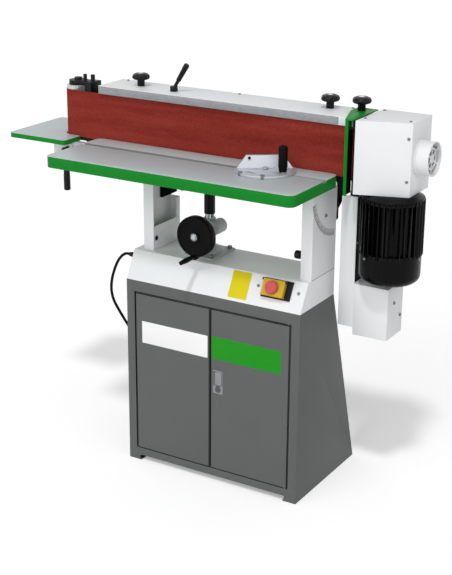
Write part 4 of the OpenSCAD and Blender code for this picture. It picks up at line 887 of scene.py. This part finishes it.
def add_stop_shade_sheet(finishes):
    """Black sheet on the inner side of the work stop, next to the hood: painted shade for the dark gap
    there.
    """
    low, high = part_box("work_stop")
    belt_low, belt_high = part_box("sanding_belt")
    web = high.x - WEB_BACK
    # painted shade: a black sheet where the gap beside the hood lies in shadow
    shade_sheet = sheet_plate(
        (web, low.y + SHADE_SHEET_FRONT, low.z + SHADE_SHEET_FOOT),
        (web + SHADE_SHEET_THICK, belt_low.y - BELT_FREE, belt_high.z - BELOW_TOP),
        X,
        corner_mm=1,
    )
    finish_piece(shade_sheet, "stop_shade_sheet", "stop", finishes["rubber_and_shade"])


HOOD_SHADE = 6 * MM
HOOD_SHADE_FRONT = 3 * MM
HOOD_SHADE_FOOT = 2 * MM


def add_hood_shade_strip(finishes):
    """Black strip up the front corner of the hood, beside the belt: painted shade for the dark gap there.
    """
    low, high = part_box("drive_hood")
    belt_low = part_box("sanding_belt")[0]
    # painted shade: a black strip where the gap beside the belt lies in shadow
    lip = sheet_plate(
        (low.x - HOOD_SHADE, low.y + HOOD_SHADE_FRONT, low.z + HOOD_SHADE_FOOT),
        (low.x, belt_low.y - BELT_FREE, high.z - BELOW_TOP),
        Z,
        corner_mm=1.5,
    )
    finish_piece(lip, "hood_shade_strip", "head", finishes["rubber_and_shade"])


# a thin grey strip of painted shade where each column's foot meets the console
GAP_SHADE_HALF = 0.8 * MM
GAP_SHADE_PROUD = 0.2 * MM
GAP_SHADE_INSET = 3 * MM


def add_column_gap_shade(finishes):
    """Grey strip along the foot of each column, where its outer face meets the console: painted shade for
    the shadow of the gap there.
    """
    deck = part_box("console_box")[1].z
    left_low, left_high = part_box("left_column")
    right_low, right_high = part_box("right_column")
    left = sheet_plate(
        (left_low.x - GAP_SHADE_PROUD, left_low.y + GAP_SHADE_INSET, deck - GAP_SHADE_HALF),
        (left_low.x, left_high.y - GAP_SHADE_INSET, deck + GAP_SHADE_HALF),
        X,
        corner_mm=0.4,
    )
    right = sheet_plate(
        (right_high.x, right_low.y + GAP_SHADE_INSET, deck - GAP_SHADE_HALF),
        (right_high.x + GAP_SHADE_PROUD, right_high.y - GAP_SHADE_INSET, deck + GAP_SHADE_HALF),
        X,
        corner_mm=0.4,
    )
    finish_piece(together([left, right]), "column_gap_shade", "stand", finishes["gap_shade"])


COVER_INSET = 2.2 * MM
COVER_THICK = 1.2 * MM
COVER_BACK = 0.2 * MM


def add_box_cover(finishes):
    """Thin sheet that closes the side of the capacitor box next to the channel."""
    low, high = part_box("capacitor_box")
    near = low.x + COVER_BACK
    cover = sheet_plate(
        (near, low.y + COVER_INSET, low.z + COVER_INSET),
        (near + COVER_THICK, high.y - COVER_INSET, high.z - COVER_INSET),
        X,
        corner_mm=1.5,
    )
    body = frame["nodes"]["capacitor_box"]["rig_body"]
    finish_piece(cover, "capacitor_box_cover", body, finishes["white"])


# Turned fittings and screws

KNOB_Y, KNOB_Z = -0.122, 0.768
KNOB_HEAD_MM, KNOB_NECK_MM = 17, 7


def add_column_knob(finishes):
    """Small turned knob on the inner face of the right column's foot."""
    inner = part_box("right_column")[0].x
    knob = stepped(
        (inner - (KNOB_HEAD_MM + KNOB_NECK_MM) * MM, KNOB_Y, KNOB_Z),
        RIGHTWARDS,
        radius_mm=12.5,
        depth_mm=KNOB_HEAD_MM,
        inset_mm=6,
        step_mm=KNOB_NECK_MM,
        edge_mm=2.5,
        segments=3,
    )
    finish_piece(knob, "column_knob", "stand", finishes["black_plastic"])


def add_wheel_cap(finishes):
    """Turned steel washer and screw head at the handwheel's hub."""
    low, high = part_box("pinion_shaft")
    place = ((low.x + high.x) / 2, low.y, (low.z + high.z) / 2)
    cap = stepped(place, FORWARDS, radius_mm=12.5, depth_mm=2, inset_mm=5, step_mm=3, edge_mm=0.6)
    finish_piece(cap, "handwheel_cap", "wheel", finishes["steel"])


def add_knob_discs(finishes):
    """Bright chrome disc in the middle of each star knob."""
    model = stepped(
        (0, 0, 0), UPWARDS, radius_mm=8, depth_mm=0.6, inset_mm=1.5, step_mm=0.8, edge_mm=0.3
    )
    for node in ("tracking_knob", "cover_knob", "stop_knob"):
        low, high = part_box(node)
        disc = copy_of(model)
        disc.location = ((low.x + high.x) / 2, (low.y + high.y) / 2, high.z)
        settle(disc)
        body = frame["nodes"][node]["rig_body"]
        finish_piece(disc, node + "_disc", body, finishes["chrome"])
    bpy.data.objects.remove(model)


COLUMN_HOLE_Y, COLUMN_HOLE_Z = -0.119, 0.734


def add_foot_plug(finishes):
    """Rubber plug in the hole through the left column's foot."""
    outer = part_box("left_column")[1].x
    plug = stepped(
        (outer, COLUMN_HOLE_Y, COLUMN_HOLE_Z),
        RIGHTWARDS,
        radius_mm=7.5,
        depth_mm=1.5,
        inset_mm=2,
        step_mm=1.5,
        edge_mm=0.6,
        sides=24,
    )
    finish_piece(plug, "foot_plug", "stand", finishes["rubber_and_shade"])


SCREW_SIDES = 20
MITRE_PIVOT = (0.137, -0.120)
# from the pivot to the left screw, and from it to the right one
INDEX_PLACE = Vector((-0.038, -0.0777, 0))
INDEX_APART = 0.073


def add_index_screws(finishes):
    """Two index screws on the rim of the mitre gauge's base."""
    pivot = Vector((*MITRE_PIVOT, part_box("mitre_head")[0].z))
    first = stepped(
        pivot + INDEX_PLACE,
        UPWARDS,
        radius_mm=6.5,
        depth_mm=12,
        inset_mm=2,
        step_mm=-2,
        edge_mm=0.5,
        sides=SCREW_SIDES,
    )
    second = copy_of(first)
    second.location.x = INDEX_APART
    settle(second)
    screws = together([first, second])
    finish_piece(screws, "mitre_index_screws", "mitre_fence", finishes["screw"])


PAD_THICK = 1.5 * MM
PAD_FRONT = 1.5 * MM
PAD_REAR = 0.04
PAD_FOOT, PAD_TOP = 0.676, 0.934
PAD_SCREW_Y = -0.007
PAD_SCREW_LOW, PAD_SCREW_HIGH = 0.796, 0.896


def add_motor_pad(finishes):
    """Rubber pad on the channel behind the motor, with two screws along its front edge."""
    body = frame["nodes"]["motor_channel"]["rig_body"]
    low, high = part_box("motor_channel")
    face = high.x + PAD_THICK
    pad = sheet_plate(
        (high.x, low.y + PAD_FRONT, PAD_FOOT), (face, PAD_REAR, PAD_TOP), X, corner_mm=2
    )
    finish_piece(pad, "motor_pad", body, finishes["rubber_and_shade"])
    first = stepped(
        (face, PAD_SCREW_Y, PAD_SCREW_LOW),
        RIGHTWARDS,
        radius_mm=4.2,
        depth_mm=1.6,
        inset_mm=1.2,
        step_mm=-0.8,
        edge_mm=0.3,
        sides=SCREW_SIDES,
    )
    second = copy_of(first)
    second.location.z = PAD_SCREW_HIGH - PAD_SCREW_LOW
    settle(second)
    finish_piece(together([first, second]), "motor_pad_screws", body, finishes["steel"])


FENCE_TURN = math.radians(34.4)
FENCE_SCREW = (0.094, -0.1375, 1.038)


def add_fence_screw(finishes):
    """Blackened stop screw near the upper corner of the mitre gauge's fence."""
    outwards = Vector((math.sin(FENCE_TURN), -math.cos(FENCE_TURN), 0))
    screw = stepped(
        FENCE_SCREW,
        outwards,
        radius_mm=4.2,
        depth_mm=3.5,
        inset_mm=1.4,
        step_mm=-1.2,
        edge_mm=0.4,
        sides=SCREW_SIDES,
    )
    finish_piece(screw, "fence_screw", "mitre_fence", finishes["black"])


# Studio: a white floor under soft, even light

FLOOR_SIZE = 80
FLOOR_WHITE = "fcfcfc"
FLOOR_GLOW = 0.26
ROOM_LIGHT = 0.32
PURE_WHITE = (1, 1, 1, 1)
LAMP_AWAY = 5


def seen_rays(tree):
    """One for rays of the camera, of reflections and through glass, and nought for those that light."""
    path = add_node(tree, "ShaderNodeLightPath").outputs
    total = add_node(
        tree, "ShaderNodeMath", {"operation": "ADD"}, {0: path["Is Camera Ray"], 1: path["Is Glossy Ray"]}
    )
    total = add_node(
        tree,
        "ShaderNodeMath",
        {"operation": "ADD", "use_clamp": True},
        {0: total.outputs["Value"], 1: path["Is Transmission Ray"]},
    )
    return total.outputs["Value"]


def add_sun(name, towards, strength, softness):
    """A distant lamp in a direction, with shadows as soft as its width in degrees."""
    bpy.ops.object.light_add(type="SUN", location=Vector(towards) * LAMP_AWAY)
    lamp = bpy.context.object
    lamp.name = name
    lamp.data.energy = strength
    lamp.data.angle = math.radians(softness)
    lamp.rotation_euler = (-Vector(towards)).to_track_quat("-Z", "Y").to_euler()


def make_studio():
    """Floor, room light and lamps."""
    bpy.ops.object.select_all(action="DESELECT")
    bpy.ops.mesh.primitive_plane_add(size=FLOOR_SIZE, location=(0, 0, 0))
    floor = bpy.context.object
    floor.name = "studio_floor"
    settings = {
        "Roughness": 0.9,
        "Specular IOR Level": 0.0,
        "Base Color": colour(FLOOR_WHITE),
        "Emission Color": PURE_WHITE,
    }
    material, tree, shader, _ = new_material("white studio floor", settings)
    # the glow that lifts the floor to white is for the camera and reflections, and lights nothing
    glow = add_node(tree, "ShaderNodeMath", {"operation": "MULTIPLY", 1: FLOOR_GLOW}, {0: seen_rays(tree)})
    tree.links.new(glow.outputs["Value"], shader.inputs["Emission Strength"])
    floor.data.materials.append(material)
    world = bpy.context.scene.world or bpy.data.worlds.new("studio")
    bpy.context.scene.world = world
    world.use_nodes = True
    tree = world.node_tree
    background = tree.nodes["Background"]
    background.inputs["Color"].default_value = PURE_WHITE
    level = add_node(
        tree, "ShaderNodeMapRange", {"To Min": ROOM_LIGHT, "To Max": 1.0}, {"Value": seen_rays(tree)}
    )
    tree.links.new(level.outputs["Result"], background.inputs["Strength"])
    add_sun("front_light", towards=(-0.2, -0.95, 0.33), strength=1.15, softness=60)
    # the high lamp throws the shadow of motor and hood that lies on the floor to the right
    add_sun("high_light", towards=(0.15, -0.45, 0.88), strength=1.05, softness=6)
    add_sun("right_light", towards=(0.85, -0.4, 0.3), strength=0.5, softness=60)
    add_sun("back_light", towards=(-0.9, 0.5, 0.08), strength=0.4, softness=20)


bpy.context.scene.view_settings.view_transform = "Standard"
place_camera()
finishes = make_finishes()
lay_mains_lead(finishes["rubber_and_shade"])
dress_nodes(finishes)
add_door_plates(finishes)
add_door_seal(finishes)
add_door_edging(finishes)
add_latch_plate(finishes)
add_panel_film(finishes)
add_tilt_scale(finishes)
add_column_knob(finishes)
add_wheel_cap(finishes)
add_knob_discs(finishes)
add_lip_strip(finishes)
add_stop_shade_sheet(finishes)
add_hood_shade_strip(finishes)
add_foot_plug(finishes)
add_index_screws(finishes)
add_column_gap_shade(finishes)
add_motor_pad(finishes)
add_box_cover(finishes)
add_fence_screw(finishes)
make_studio()
